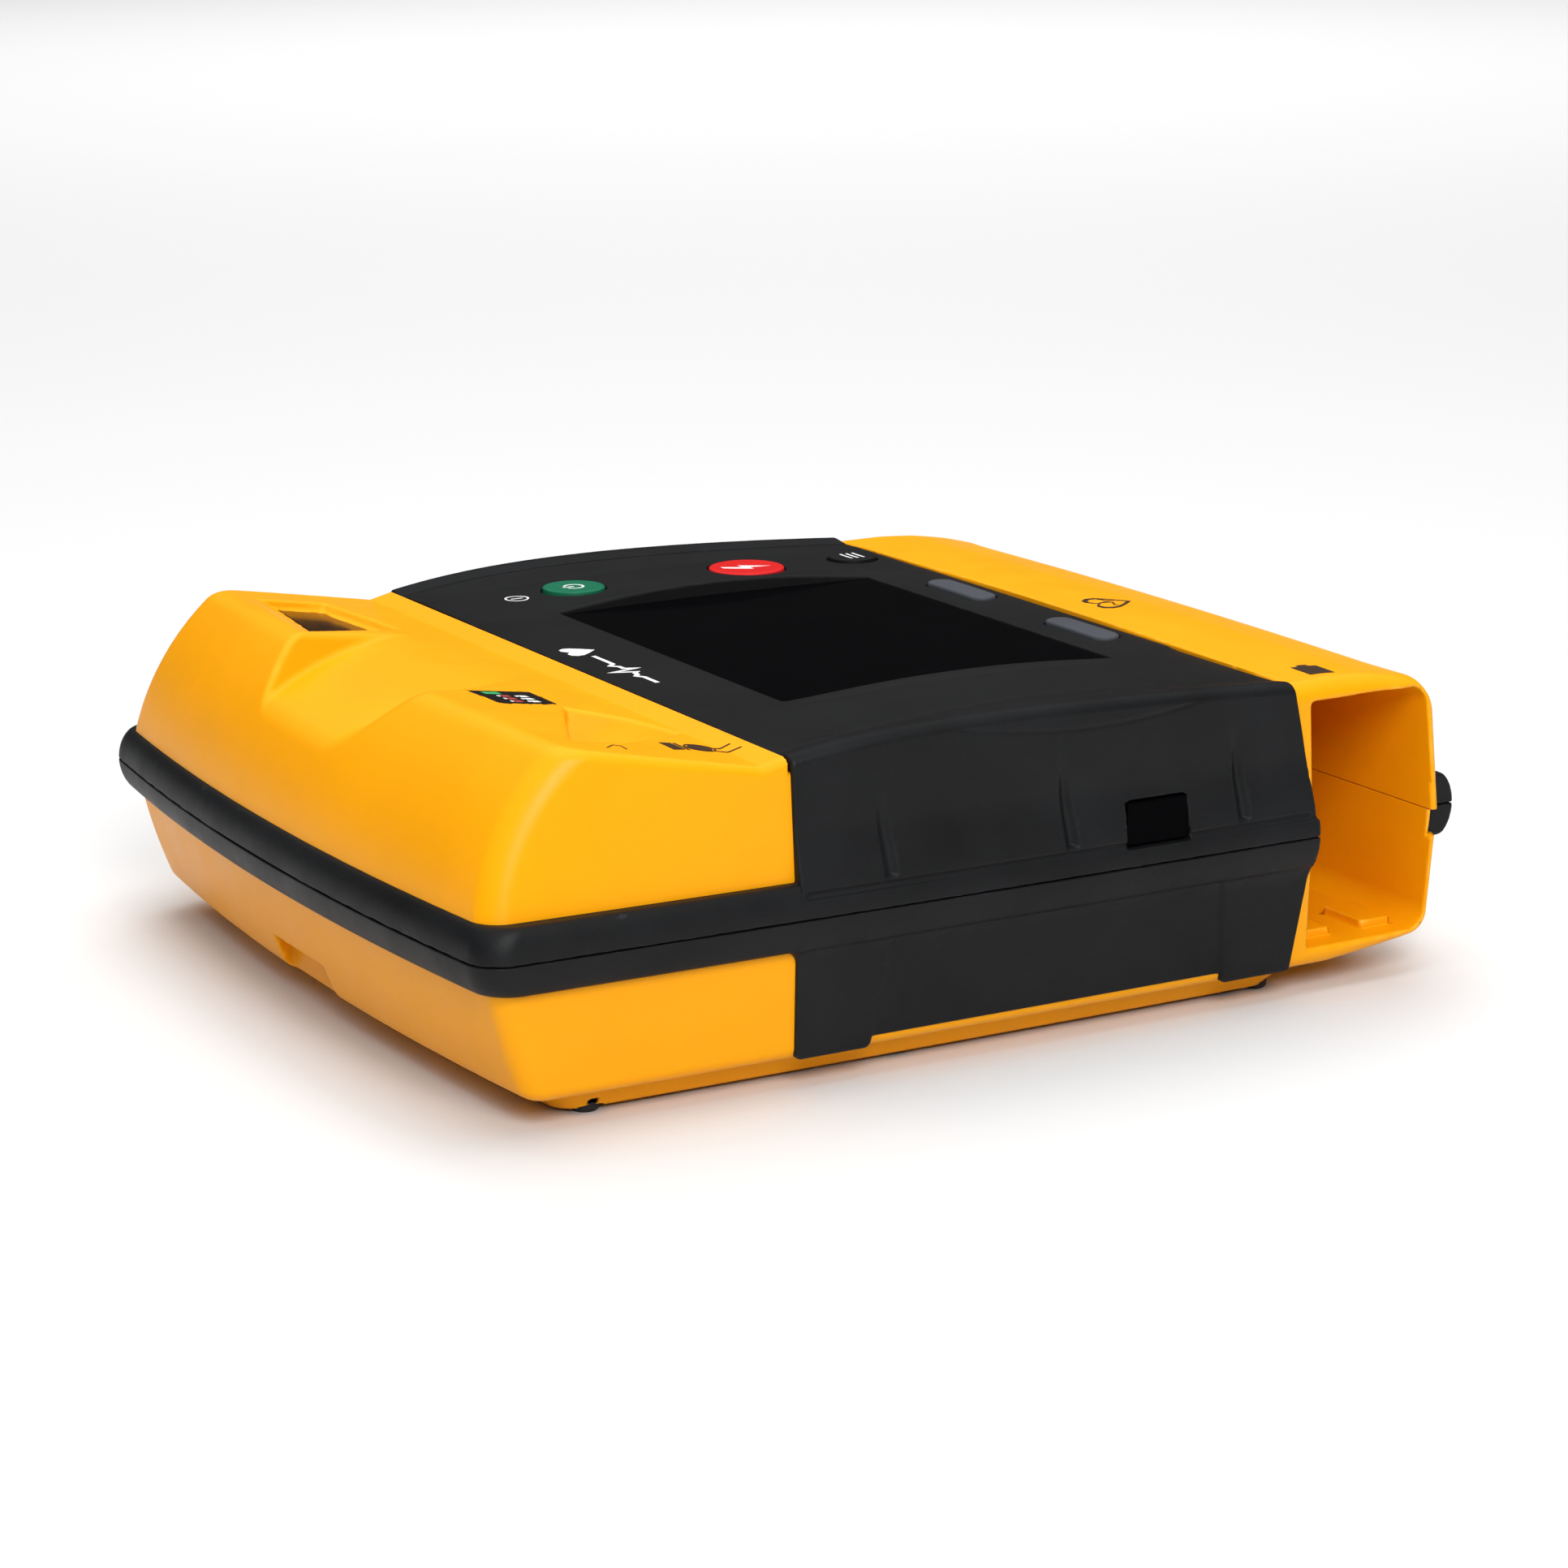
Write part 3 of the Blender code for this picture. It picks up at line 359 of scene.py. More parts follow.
def rear_body(x, y, z, out=0.0):
    """Walls of the rear case, moved outwards by a distance."""
    side = np.abs(x) - side_half(y, z) - out
    top = y + TOP_BOW * x * x - rear_top_reach(z) - out
    bottom = -y - BOTTOM_REACH + 0.06 * np.maximum(SEAM_Z - z, 0) - out
    body = round_and(side, top, CORNER_TOP + out)
    return round_and(body, bottom, CORNER_BOTTOM + out)


def bay_hole(x, y, z, grow=0.0):
    """Battery bay, open at the left side."""
    low, high = BAY_Z
    far = BAY_Y[0] + 0.0005 * (z - SEAM_Z) ** 2
    hole = meet(y - BAY_Y[1], far - y)
    roof = z - high + 0.06 * np.maximum(-y - 112.0, 0)
    outwards = ramp(-y, 104.0, 118.0)
    corner = 1.0 + 3.0 * outwards
    hole = round_and(hole, roof, corner)
    hole = round_and(hole, low - z, corner + 1.5 * outwards)
    return round_and(hole, x - BAY_END_X, 2.0) - grow


# ---- yellow cases
def hump_z(y):
    """Height of the two humps' sloping tops."""
    return VALLEY_Z + (y - VALLEY_Y) * HUMP_SLOPE


HUMP_TOP_Z = hump_z(HUMP_END_Y)
TOP_FACE = smooth_table([(40, 81), (PANEL_TOP_Y, FACE_Z), (VALLEY_Y, VALLEY_Z), (HUMP_END_Y, HUMP_TOP_Z),
                         (150, HUMP_TOP_Z)], 1.4)
BOTTOM_FACE = smooth_table([(-140, 72.6), (-128, 75.2), (-119, 77.3), (-109, 78.9), (-99, 79.5),
                            (PANEL_BOTTOM_Y, 79.3), (-70, 79.0)], 7.0)
UNDER_FACE = smooth_table([(-140, 11.2), (-118, 9.2), (-108, 8.0), (-98, 7.0), (-88, 7.0), (160, 7.0)], 6.0)


def face_z(x, y):
    """Front face of the yellow case."""
    low = look_up(BOTTOM_FACE, y) - 1.2 * (x / 112) ** 2
    return np.where(y > -20, look_up(TOP_FACE, y), low)


def rail_z(y):
    """Height of the crests of the grips beside the panel."""
    above = RAIL_PEAK_Z - 4.0 * (np.maximum(y - RAIL_PEAK_Y, 0) / (PANEL_TOP_Y - RAIL_PEAK_Y)) ** 2.6
    below = 3.3 * (np.maximum(RAIL_PEAK_Y - y, 0) / (RAIL_PEAK_Y - PANEL_BOTTOM_Y)) ** 1.6
    return above - below


def panel_z(y):
    """Height of the panel round the buttons."""
    return 78.1 + 0.15 * (rail_z(y) - FACE_Z)


def hull_field(points, sharpness=2.2):
    """Convex solid around points, its edges eased by a soft maximum of its face planes."""
    bm = bmesh.new()
    for point in points:
        bm.verts.new(point)
    bmesh.ops.convex_hull(bm, input=bm.verts)
    bm.normal_update()
    planes = {}
    for face in bm.faces:
        offset = face.normal.dot(face.verts[0].co)
        planes[tuple(round(v, 2) for v in (*face.normal, offset / 50))] = (*face.normal, offset)
    bm.free()

    def field(x, y, z):
        total = 0.0
        for a, b, c, d in planes.values():
            total = total + np.exp(np.clip(sharpness * (a * x + b * y + c * z - d), -60, 60))
        return np.log(total) / sharpness
    return field


def on_hump(corners, lift=0.0):
    """Corners as points on the sloping top, or off it by a lift."""
    return [(x, y, hump_z(max(y, VALLEY_Y)) + lift) for x, y in corners]


# corners of the recesses in the raised top section
READINESS_RIM = ((39.8, 108.0), (90.0, 100.4), (93.6, 78.8), (57.6, 73.4))
READINESS_BED = ((51.0, 101.4), (90.6, 95.2), (91.8, 80.4), (60.0, 75.2))
READINESS_GLASS = ((54.0, 99.6), (89.6, 94.2), (90.6, 81.4), (62.0, 77.2))
LABEL_CORNERS = ((-32.3, 96.5), (-27.7, 77.9), (-42.6, 77.7), (-47.9, 94.5))
RECESS_RIM = ((-47.0, 78.0), (-92.0, 98.5), (-90.0, 84.0), (-84.0, 80.0), (-77.0, 67.0), (-72.0, 60.0),
              (-57.0, 65.0))
RECESS_FLOOR = ((-55.0, 82.4), (-88.0, 97.2), (-87.0, 85.0), (-79.0, 79.0), (-68.0, 73.5))
RECESS_FLOOR_Z = 66.5

SCOOP_LEFT = plane((36.6, 111.1, 86.0), (48.6, 75.5, 79.5), (23.5, 126.6, 70.9), (0, 110, 85))
SCOOP_RIGHT = plane((-19.0, 81.0, 80.5), (-38.0, 111.4, 86.2), (-20.3, 127.5, 70.0), (0, 110, 85))
readiness_cut = hull_field(on_hump(READINESS_RIM, 0.0) + on_hump(READINESS_RIM, 6.0)
                           + on_hump(READINESS_BED, -2.3), 3.0)
readiness_hole = hull_field(on_hump(READINESS_GLASS, -6.0) + on_hump(READINESS_GLASS, 6.0), 4.0)
label_cut = hull_field(on_hump(LABEL_CORNERS, -0.5) + on_hump(LABEL_CORNERS, 3.0), 6.0)
recess_cut = hull_field(on_hump(RECESS_RIM) + [(x, y, 95.0) for x, y in RECESS_RIM]
                        + [(x, y, RECESS_FLOOR_Z) for x, y in RECESS_FLOOR], 2.2)


def scoop(x, y, z):
    """Valley between the two humps: a convex floor between two flanks."""
    floor = 79.5 + 0.017 * x - 8.6 * (np.maximum(y - 74.0, 0) / 52.6) ** 2.4 - z
    valley = round_and(floor, SCOOP_LEFT(x, y, z), 1.4)
    valley = round_and(valley, SCOOP_RIGHT(x, y, z), 3.0)
    return meet(valley, 60.0 - y)


def socket_hole(x, y, z):
    """Place of the electrode socket, behind the recess's long wall."""
    (x0, y0), (x1, y1) = RECESS_FLOOR[:2]
    behind = y - (y0 + (x - x0) * (y1 - y0) / (x1 - x0))
    return meet(span(x, -80.3, -61.7), span(behind, -3.0, 9.3), span(z, 66.7, 75.8))


def room(x, y, z, low, high):
    """Electronics compartment."""
    walls = round_and(np.abs(x) - side_half(y, z) + 3.2, y + TOP_BOW * x * x - 120.0, 3.0)
    walls = round_and(walls, -87.8 - y, 2.0)
    return round_and(walls, span(z, low, high), 1.5)


def pill(x, y, cx, cy, length, width):
    """Distance to a flat slot shape with round ends, lying along x."""
    along = np.maximum(np.abs(x - cx) - (length - width) / 2, 0)
    return np.hypot(along, y - cy) - width / 2


def front_room(x, y, z):
    """Inner room of the front case, with its openings for the buttons and windows."""
    through = span(z, 68, 90)
    holes = [meet(np.hypot(x - cx, y - cy) - radius - 1.8, through) for cx, cy, radius in WELLS]
    holes += [meet(pill(x, y, cx, SOFT_KEY_Y, 31.6, 11.2), through) for cx in SOFT_KEYS]
    holes.append(meet(np.abs(x) - 65, span(y, -69.2, 29.2), span(z, 60, 90)))
    holes.append(meet(span(y, -53.0, -34.0), span(z, 45.5, 57.2), x + SIDE_X))
    upper = meet(np.abs(x) - 104.0, span(y, -87.8, 57.8), span(z, 50.0, 71.6))
    return join(room(x, y, z, SEAM_Z - 8, 65.0), upper, *holes)


def front_shell(x, y, z):
    """Front half of the yellow case."""
    side = np.abs(x) - side_half(y, z)
    top = top_front(x, y, z)
    bottom = -y - BOTTOM_REACH
    walls = round_and(round_and(side, top, CORNER_TOP + 1.0), bottom, CORNER_BOTTOM)
    end = ramp(bottom - side, -CORNER_RAMP, CORNER_RAMP) * (y < 0)
    edge = 2.2 + 0.3 * ramp(y, 85.0, 112.0) + 2.0 * (y < 0) + 6.0 * end
    body = round_and(walls, z - face_z(x, y), edge)
    body = round_cut(body, meet(span(y, PANEL_BOTTOM_Y, PANEL_TOP_Y), PANEL_UNDER_Z - z), 0.35)
    body = round_cut(body, scoop(x, y, z), 1.8)
    # the step under the bumper and the grips
    under_grip = span(y, rubber_end(z) + 1.2, PANEL_TOP_Y - 1.2)
    hidden = join(z - BUMPER_TOP_Z + 1.3, meet(under_grip, 60.0 - np.abs(x)))
    body = meet(body, join(meet(side, top, bottom) + SKIN, -hidden))
    # the readiness window's, the label's and the electrode socket's recesses
    body = round_cut(body, readiness_cut(x, y, z), 0.9)
    body = cut(body, readiness_hole(x, y, z), label_cut(x, y, z))
    body = round_cut(body, recess_cut(x, y, z), 1.1)
    body = cut(body, socket_hole(x, y, z))
    body = round_cut(body, bay_hole(x, y, z), 1.1)
    body = cut(body, front_room(x, y, z))
    return round_and(body, SEAM_Z + SEAM_GAP - z, 0.12)


def plateau(x, y, z):
    """Raised bed under the rear case that carries the feet."""
    grow = np.minimum(z - PLATEAU_Z, 6.8) * PLATEAU_SLOPE
    side = np.abs(x) - PLATEAU_HALF_X - grow + SIDE_BOW * (y - BOW_Y) ** 2
    walls = round_and(side, PLATEAU_Y[0] - y - grow, 9.0)
    walls = round_and(walls, y + TOP_BOW * x * x - PLATEAU_Y[1] - grow, 6.0)
    return meet(round_and(walls * 0.87, PLATEAU_Z - z, 0.8), z - 8.0)


RUBBER_EDGE = smooth_table(RUBBER_END, 4.0)


def rubber_end(z):
    """Station at which the side's rubber ends, beside the battery bay."""
    return look_up(RUBBER_EDGE, z)


def side_legs(y, z):
    """Outline of the two legs of each side's rubber skin."""
    lean = 33.0 - (z - 9.8) * 0.215
    first = round_and(span(y, lean, PANEL_TOP_Y - PANEL_GAP), LEG_BOTTOM_Z - z, 1.6)
    second = round_and(span(y, rubber_end(z), -64.4 + (z - 9.8) * 0.05), LEG_BOTTOM_Z - z, 1.6)
    return join(first, second)


def between_legs(y, z):
    """Outline of the skin between the two legs."""
    return meet(span(y, *LEG_SKIN_Y), SKIN_BOTTOM_Z - z)


def bay_floor(x, y, z):
    """Two blocks, a rail and a rib on the battery bay's floor."""
    blocks = [round_and(span(x, -104, -88), span(y, cy - 4.5, cy + 4.5), 0.6) for cy in (-117.0, -98.5)]
    blocks = [round_and(block, span(z, 9, 14.0), 0.5) for block in blocks]
    rail = round_and(span(y, -108.6, -107.0), span(z, 9, 12.9), 0.4)
    rib = round_and(span(x, -52, -49.5), meet(span(z, 9, 13.4), span(y, -130, -90)), 0.5)
    return join(*blocks, round_and(rail, span(x, -86, 80), 0.5), rib)


def rear_shell(x, y, z):
    """Rear half of the yellow case."""
    walls = rear_body(x, y, z)
    end = ramp(-y - BOTTOM_REACH - np.abs(x) + side_half(y, z), -CORNER_RAMP, CORNER_RAMP) * (y < 0)
    body = round_and(walls, look_up(UNDER_FACE, y) - z, 3.2 + 4.0 * end)
    body = round_or(body, plateau(x, y, z), 0.8)
    # the step under the bumper and its side skins
    side_skin = join(side_legs(y, z), between_legs(y, z))
    hidden = join(BUMPER_BOTTOM_Z + 1.3 - z, meet(side_skin + 1.4, 60.0 - np.abs(x)))
    body = meet(body, join(rear_body(x, y, z, -SKIN), -hidden))
    body = round_cut(body, bay_hole(x, y, z), 1.1)
    # the inner room, with a post round each screw's pit
    from_screw = join(*(np.hypot(x - cx, y - cy) for cx, cy in SCREWS))
    body = cut(body, meet(room(x, y, z, 9.4, SEAM_Z + 8), POST_RADIUS - from_screw))
    body = round_cut(body, meet(from_screw - PIT_RADIUS, z - 14.0), 0.4)
    body = join(body, bay_floor(x, y, z))
    pocket = round_and(span(x, -15.7, 14.8), span(z, 5.0, 16.3), 0.8)
    body = round_cut(body, round_and(pocket, 123.0 - y, 1.0), 0.5)
    for i in range(SPEAKER_SLOTS):
        body = round_cut(body, meet(pill(y, x, 73, 39 + 6 * i, 22, 2), z - 12), 0.3)
    foot_y = join(np.abs(y - FEET[0][1]), np.abs(y - FEET[2][1]))
    foot = meet(np.hypot(np.abs(x) - FEET[1][0], foot_y) - 3.9, z - 4.5)
    body = round_cut(body, foot, 0.3)
    return round_and(body, z - SEAM_Z + SEAM_GAP, 0.12)


# ---- rubber parts
def band_form(x, y, z, half_height, taper=0.8):
    """Outer form of the bumper band."""
    rise = np.clip(np.abs(z - SEAM_Z) / half_height, 0, 1.08)
    bulge = np.sqrt(np.maximum(1 - taper * rise ** 2, 0.02))
    side = np.abs(x) - side_half(y, 0 * z + SEAM_Z) - BUMPER_PROUD * bulge
    top = y + TOP_BOW * x * x - (REAR_TOP - 1.8) - BUMPER_END_PROUD * bulge
    bottom = -y - BOTTOM_REACH - BUMPER_END_PROUD * bulge
    return round_and(round_and(side, top, CORNER_TOP + 2.5), bottom, CORNER_BOTTOM + 3.5)


def thumb_groove(y, z):
    """Depth of the three tear-shaped grooves in each grip."""
    depth = 0.0
    for centre, deep in THUMB_GROOVES:
        width = 1.7 + 0.5 * ramp(-z, -66, -50)
        across = np.clip((y - centre - 0.1 * (z - 58)) / width, -1, 1)
        shape = np.cos(across * math.pi / 2) ** 1.5
        depth = depth + deep * shape * (1 - ramp(z, 57, 72)) * ramp(z, 47.6, 49.0)
    return depth


def infrared_edge(y, z, inset=0.0):
    """Outline of the infrared window, narrower towards its top."""
    slope = INFRARED_SLOPE * (z - INFRARED_Z[0])
    across = span(y, INFRARED_Y[0] + inset + slope, INFRARED_Y[1] - inset - slope)
    return round_and(across, span(z, INFRARED_Z[0] + inset, INFRARED_Z[1] - inset), 0.5)


def mouth_cut(x, y, z):
    """The rubber stops at the battery bay's mouth."""
    return round_and(x + 106.3, y - rubber_end(z), 1.0)


def front_rubber(x, y, z):
    """Front bumper: the upper half of the band and the two side grips."""
    band = band_form(x, y, z, BUMPER_TOP_Z - SEAM_Z)
    along_grip = span(y, rubber_end(z), PANEL_TOP_Y - PANEL_GAP)
    band_top = BUMPER_TOP_Z - 3.5 * (meet(along_grip, SIDE_X - np.abs(x)) < 0)
    band = round_and(band, z - band_top, 0.7)
    crest = rail_z(y)
    flare = GRIP_FLARE * ramp(z, 62.0, 45.5)
    outer = np.abs(x) - side_half(y, z) - GRIP_PROUD - flare + thumb_groove(y, z)
    lean = 0.16 * np.maximum(108.0 - np.abs(x), 0)
    grip = round_and(outer, z - crest + lean, 2.6)
    # a mould line that bows down along the crest
    bow = np.maximum(1 - ((y + 22.5) / 36.0) ** 2, 0)
    grip = grip + 0.13 * np.exp(-((z - crest + 1.6 + 4.3 * bow) / 0.5) ** 2) * ramp(bow, 0.05, 0.3)
    grip = round_and(grip, 103.3 - np.abs(x), 0.3)
    grip = round_and(grip, along_grip, 0.7)
    form = round_or(band, meet(grip, 44.0 - z), 0.3)
    # a crease between the grip and the bumper's bead
    crease = np.exp(-((z - CREASE_Z) / 0.55) ** 2) * ramp(y, rubber_end(z) + 1.0, rubber_end(z) + 3.0)
    crease = crease * (1 - ramp(y, PANEL_TOP_Y - 2.5, PANEL_TOP_Y - 1.0)) * (np.abs(x) > SIDE_X)
    form = form + 0.45 * crease
    form = cut(form, meet(front_body(x, y, z, -1.2), z - 74.9))
    form = round_cut(form, meet(infrared_edge(y, z), x + SIDE_X), 0.25)
    form = round_cut(form, mouth_cut(x, y, z), 0.8)
    ragged = 0.06 * np.sin(0.9 * y + 0.7 * x) * np.sin(0.37 * (x - y))
    return round_and(form, SEAM_Z + RUBBER_GAP + ragged - z, 0.3)


def rear_rubber(x, y, z):
    """Rear bumper: the lower half of the band, and a skin with two legs on each side."""
    beside = ramp(y, -92.0, -88.0) * (1 - ramp(y, PANEL_TOP_Y - 3.0, PANEL_TOP_Y - 0.6))
    beside = beside * (np.abs(x) > SIDE_X)
    band = band_form(x, y, z, SEAM_Z - BUMPER_BOTTOM_Z, 0.8 + 0.13 * beside)
    band = round_and(band, BUMPER_BOTTOM_Z - z, 0.9)
    side = np.abs(x) - side_half(y, z)
    legs = round_and(side_legs(y, z), side - GRIP_PROUD, 0.7)
    between = round_and(between_legs(y, z), side - BETWEEN_PROUD, 0.3)
    side_skin = meet(round_or(legs, between, 0.4), z - 38.0, 90.0 - np.abs(x))
    form = round_or(band, side_skin, 3.2)
    core = round_and(rear_body(x, y, z, -1.2), look_up(UNDER_FACE, y) + 1.2 - z, 3.5)
    form = round_cut(cut(form, core), mouth_cut(x, y, z), 0.8)
    return round_and(form, z - SEAM_Z + RUBBER_GAP, 0.3)


# ---- front panel
def window_edge(x, y, grow=0.0):
    """Outline of the display window, whose short sides bulge."""
    middle, half = sum(WINDOW_Y) / 2, (WINDOW_Y[1] - WINDOW_Y[0]) / 2
    bulge = WINDOW_BULGE * (1 - ((y - middle) / half) ** 2)
    return round_and(np.abs(x) - WINDOW_HALF_X - bulge - grow, np.abs(y - middle) - half - grow, 1.0)


def panel_top(x, y):
    """Height of the black panel: arched long sides with a bead along the window, rails outside them."""
    reach = np.abs(x)
    edge = window_edge(x, y)
    arch = 2.9 * np.maximum(1 - ((y + 20.0) / 48.0) ** 2, 0)
    near = 77.9 + 0.85 * arch
    far = 78.25 + 0.38 * arch
    beside = np.where(x < 0, near, far)
    bead = 77.85 + arch
    beside = bead + (beside - bead) * ramp(edge, 2.2, 9.0)
    beside = beside - 0.28 * np.exp(-((edge - 6.0) / 1.6) ** 2) * ramp(arch, 0.1, 1.5) * (x < 0)
    rail = rail_z(y) - 0.9
    slope = ramp(reach, 95.5, 103.0)
    step = 0.25 * np.exp(-((reach - 95.0) / 0.7) ** 2) * ramp(y, -84, -60) * (1 - ramp(y, 30, 50))
    beside = beside + (rail - beside) * slope - step
    middle = 77.85 + 0.5 * ramp(-y, 70.0, 86.0) + 0.15 * ramp(y, 40.0, 53.0)
    share = ramp(reach, 57.0, 63.5)
    return middle + (beside - middle) * share


def panel_skin(x, y, z):
    """Black front panel with its window and button wells."""
    ends = span(y, PANEL_BOTTOM_Y + PANEL_GAP, PANEL_TOP_Y - PANEL_GAP)
    slab = round_and(z - panel_top(x, y), ends, 0.35)
    slab = round_and(slab, np.abs(x) - PANEL_HALF_X, 0.35)
    slab = round_cut(meet(slab, 74.9 - z), window_edge(x, y, 0.3), 0.5)
    for cx, cy, radius in WELLS:
        slab = round_cut(slab, np.hypot(x - cx, y - cy) - radius - 0.1, 0.5)
    for cx in SOFT_KEYS:
        slab = round_cut(slab, pill(x, y, cx, SOFT_KEY_Y, 28.6, 8.2), 0.5)
    return slab


def window_glass(x, y, z):
    """Display window."""
    return round_and(window_edge(x, y), span(z, WINDOW_TOP_Z - 2.0, WINDOW_TOP_Z), 0.3)


# ---- turned and drawn parts
def turned(name, profile, centre, steps=72):
    """Solid of revolution about a vertical axis; profile is (radius, z) from bottom to top."""
    x0, y0 = centre
    turns = [2 * math.pi * i / steps for i in range(steps)]
    bm = bmesh.new()
    rows = [[bm.verts.new((x0 + r * math.cos(a), y0 + r * math.sin(a), z)) for a in turns]
            for r, z in profile]
    for low, high in zip(rows, rows[1:]):
        for i in range(steps):
            j = (i + 1) % steps
            bm.faces.new((low[i], low[j], high[j], high[i]))
    bm.faces.new(list(reversed(rows[0])))
    bm.faces.new(rows[-1])
    return from_bmesh(name, bm)


def from_bmesh(name, bm, sharp=30.0):
    """Object from a mesh in millimetres, with its sharp edges marked."""
    bmesh.ops.scale(bm, verts=bm.verts, vec=(MM, MM, MM))
    bmesh.ops.recalc_face_normals(bm, faces=bm.faces)
    mesh = bpy.data.meshes.new(name)
    bm.to_mesh(mesh)
    bm.free()
    mesh.shade_smooth()
    mesh.set_sharp_from_angle(angle=math.radians(sharp))
    obj = bpy.data.objects.new(name, mesh)
    bpy.context.scene.collection.objects.link(obj)
    return obj


def arc(cx, cy, radius, start, end, steps=10):
    """Points along an arc, its angles in degrees."""
    angles = [math.radians(start + (end - start) * i / steps) for i in range(steps + 1)]
    return [(cx + radius * math.cos(a), cy + radius * math.sin(a)) for a in angles]


def drawn(name, shapes, surface, thick=0.1, sink=0.06):
    """Printed symbol: flat outlines laid on a surface height function as thin slabs."""
    bm = bmesh.new()
    for outline in shapes:
        verts = [bm.verts.new((x, y, 0)) for x, y in outline]
        edges = [bm.edges.new((a, b)) for a, b in zip(verts, verts[1:] + verts[:1])]
        bmesh.ops.triangle_fill(bm, use_beauty=True, use_dissolve=False, edges=edges)
    for _ in range(3):
        long = [e for e in bm.edges if e.calc_length() > 1.6]
        if long:
            bmesh.ops.subdivide_edges(bm, edges=long, cuts=1)
            bmesh.ops.triangulate(bm, faces=bm.faces)
    bm.normal_update()
    for face in bm.faces:
        if face.normal.z < 0:
            face.normal_flip()
    top = list(bm.faces)
    made = bmesh.ops.extrude_face_region(bm, geom=top, use_keep_orig=True)
    raised = {v for v in made["geom"] if isinstance(v, bmesh.types.BMVert)}
    for vert in bm.verts:
        lift = thick - sink if vert in raised else -sink
        vert.co.z = float(surface(vert.co.x, vert.co.y)) + lift
    return from_bmesh(name, bm)


def ring_shapes(cx, cy, inner, outer, steps=36):
    """A ring as two half bands, so that each outline is simple."""
    left = arc(cx, cy, outer, 90, 270, steps // 2) + arc(cx, cy, inner, 270, 90, steps // 2)
    right = arc(cx, cy, outer, -90, 90, steps // 2) + arc(cx, cy, inner, 90, -90, steps // 2)
    return [left, right]


def stroke(points, width):
    """Outline of a poly-line with a constant width: full mitres inside its bends, short ones outside."""
    half = width / 2
    steps = [(b[0] - a[0], b[1] - a[1]) for a, b in zip(points, points[1:])]
    normals = [(-dy / math.hypot(dx, dy), dx / math.hypot(dx, dy)) for dx, dy in steps]
    left, right = [], []
    for i, (x, y) in enumerate(points):
        ax, ay = normals[max(i - 1, 0)]
        bx, by = normals[min(i, len(normals) - 1)]
        size = math.hypot(ax + bx, ay + by)
        mx, my = (ax + bx) / size, (ay + by) / size
        mitre = half / max(mx * ax + my * ay, 0.18)
        turn = ax * by - ay * bx
        on_left = mitre if turn > 0 else min(mitre, 1.3 * half)
        on_right = mitre if turn < 0 else min(mitre, 1.3 * half)
        left.append((x + mx * on_left, y + my * on_left))
        right.append((x - mx * on_right, y - my * on_right))
    return left + list(reversed(right))


def placed(outline, cx, cy, scale=1.0):
    """Outline moved to a centre and scaled."""
    return [(cx + scale * x, cy + scale * y) for x, y in outline]


def box_shape(x0, x1, y0, y1):
    return [(x0, y0), (x1, y0), (x1, y1), (x0, y1)]


# ---- materials
def mix_colour(tree, factor, low, high):
    """Mix of two colours; the first may be a socket."""
    mix = tree.nodes.new("ShaderNodeMix")
    mix.data_type = "RGBA"
    tree.links.new(factor, mix.inputs[0])
    if isinstance(low, tuple):
        mix.inputs[6].default_value = (*low, 1)
    else:
        tree.links.new(low, mix.inputs[6])
    mix.inputs[7].default_value = (*high, 1)
    return mix.outputs[2]


def noise(tree, vector, scale, detail):
    """Noise texture over object coordinates; the scale is per metre."""
    tex = tree.nodes.new("ShaderNodeTexNoise")
    tex.inputs["Scale"].default_value = scale
    tex.inputs["Detail"].default_value = detail
    tex.inputs["Roughness"].default_value = 0.55
    tree.links.new(vector, tex.inputs["Vector"])
    return tex.outputs["Fac"]


def span_node(tree, value, low, high, out_low=0.0, out_high=1.0):
    """Map Range node, clamped."""
    node = tree.nodes.new("ShaderNodeMapRange")
    tree.links.new(value, node.inputs["Value"])
    for key, number in (("From Min", low), ("From Max", high), ("To Min", out_low), ("To Max", out_high)):
        node.inputs[key].default_value = number
    return node.outputs["Result"]


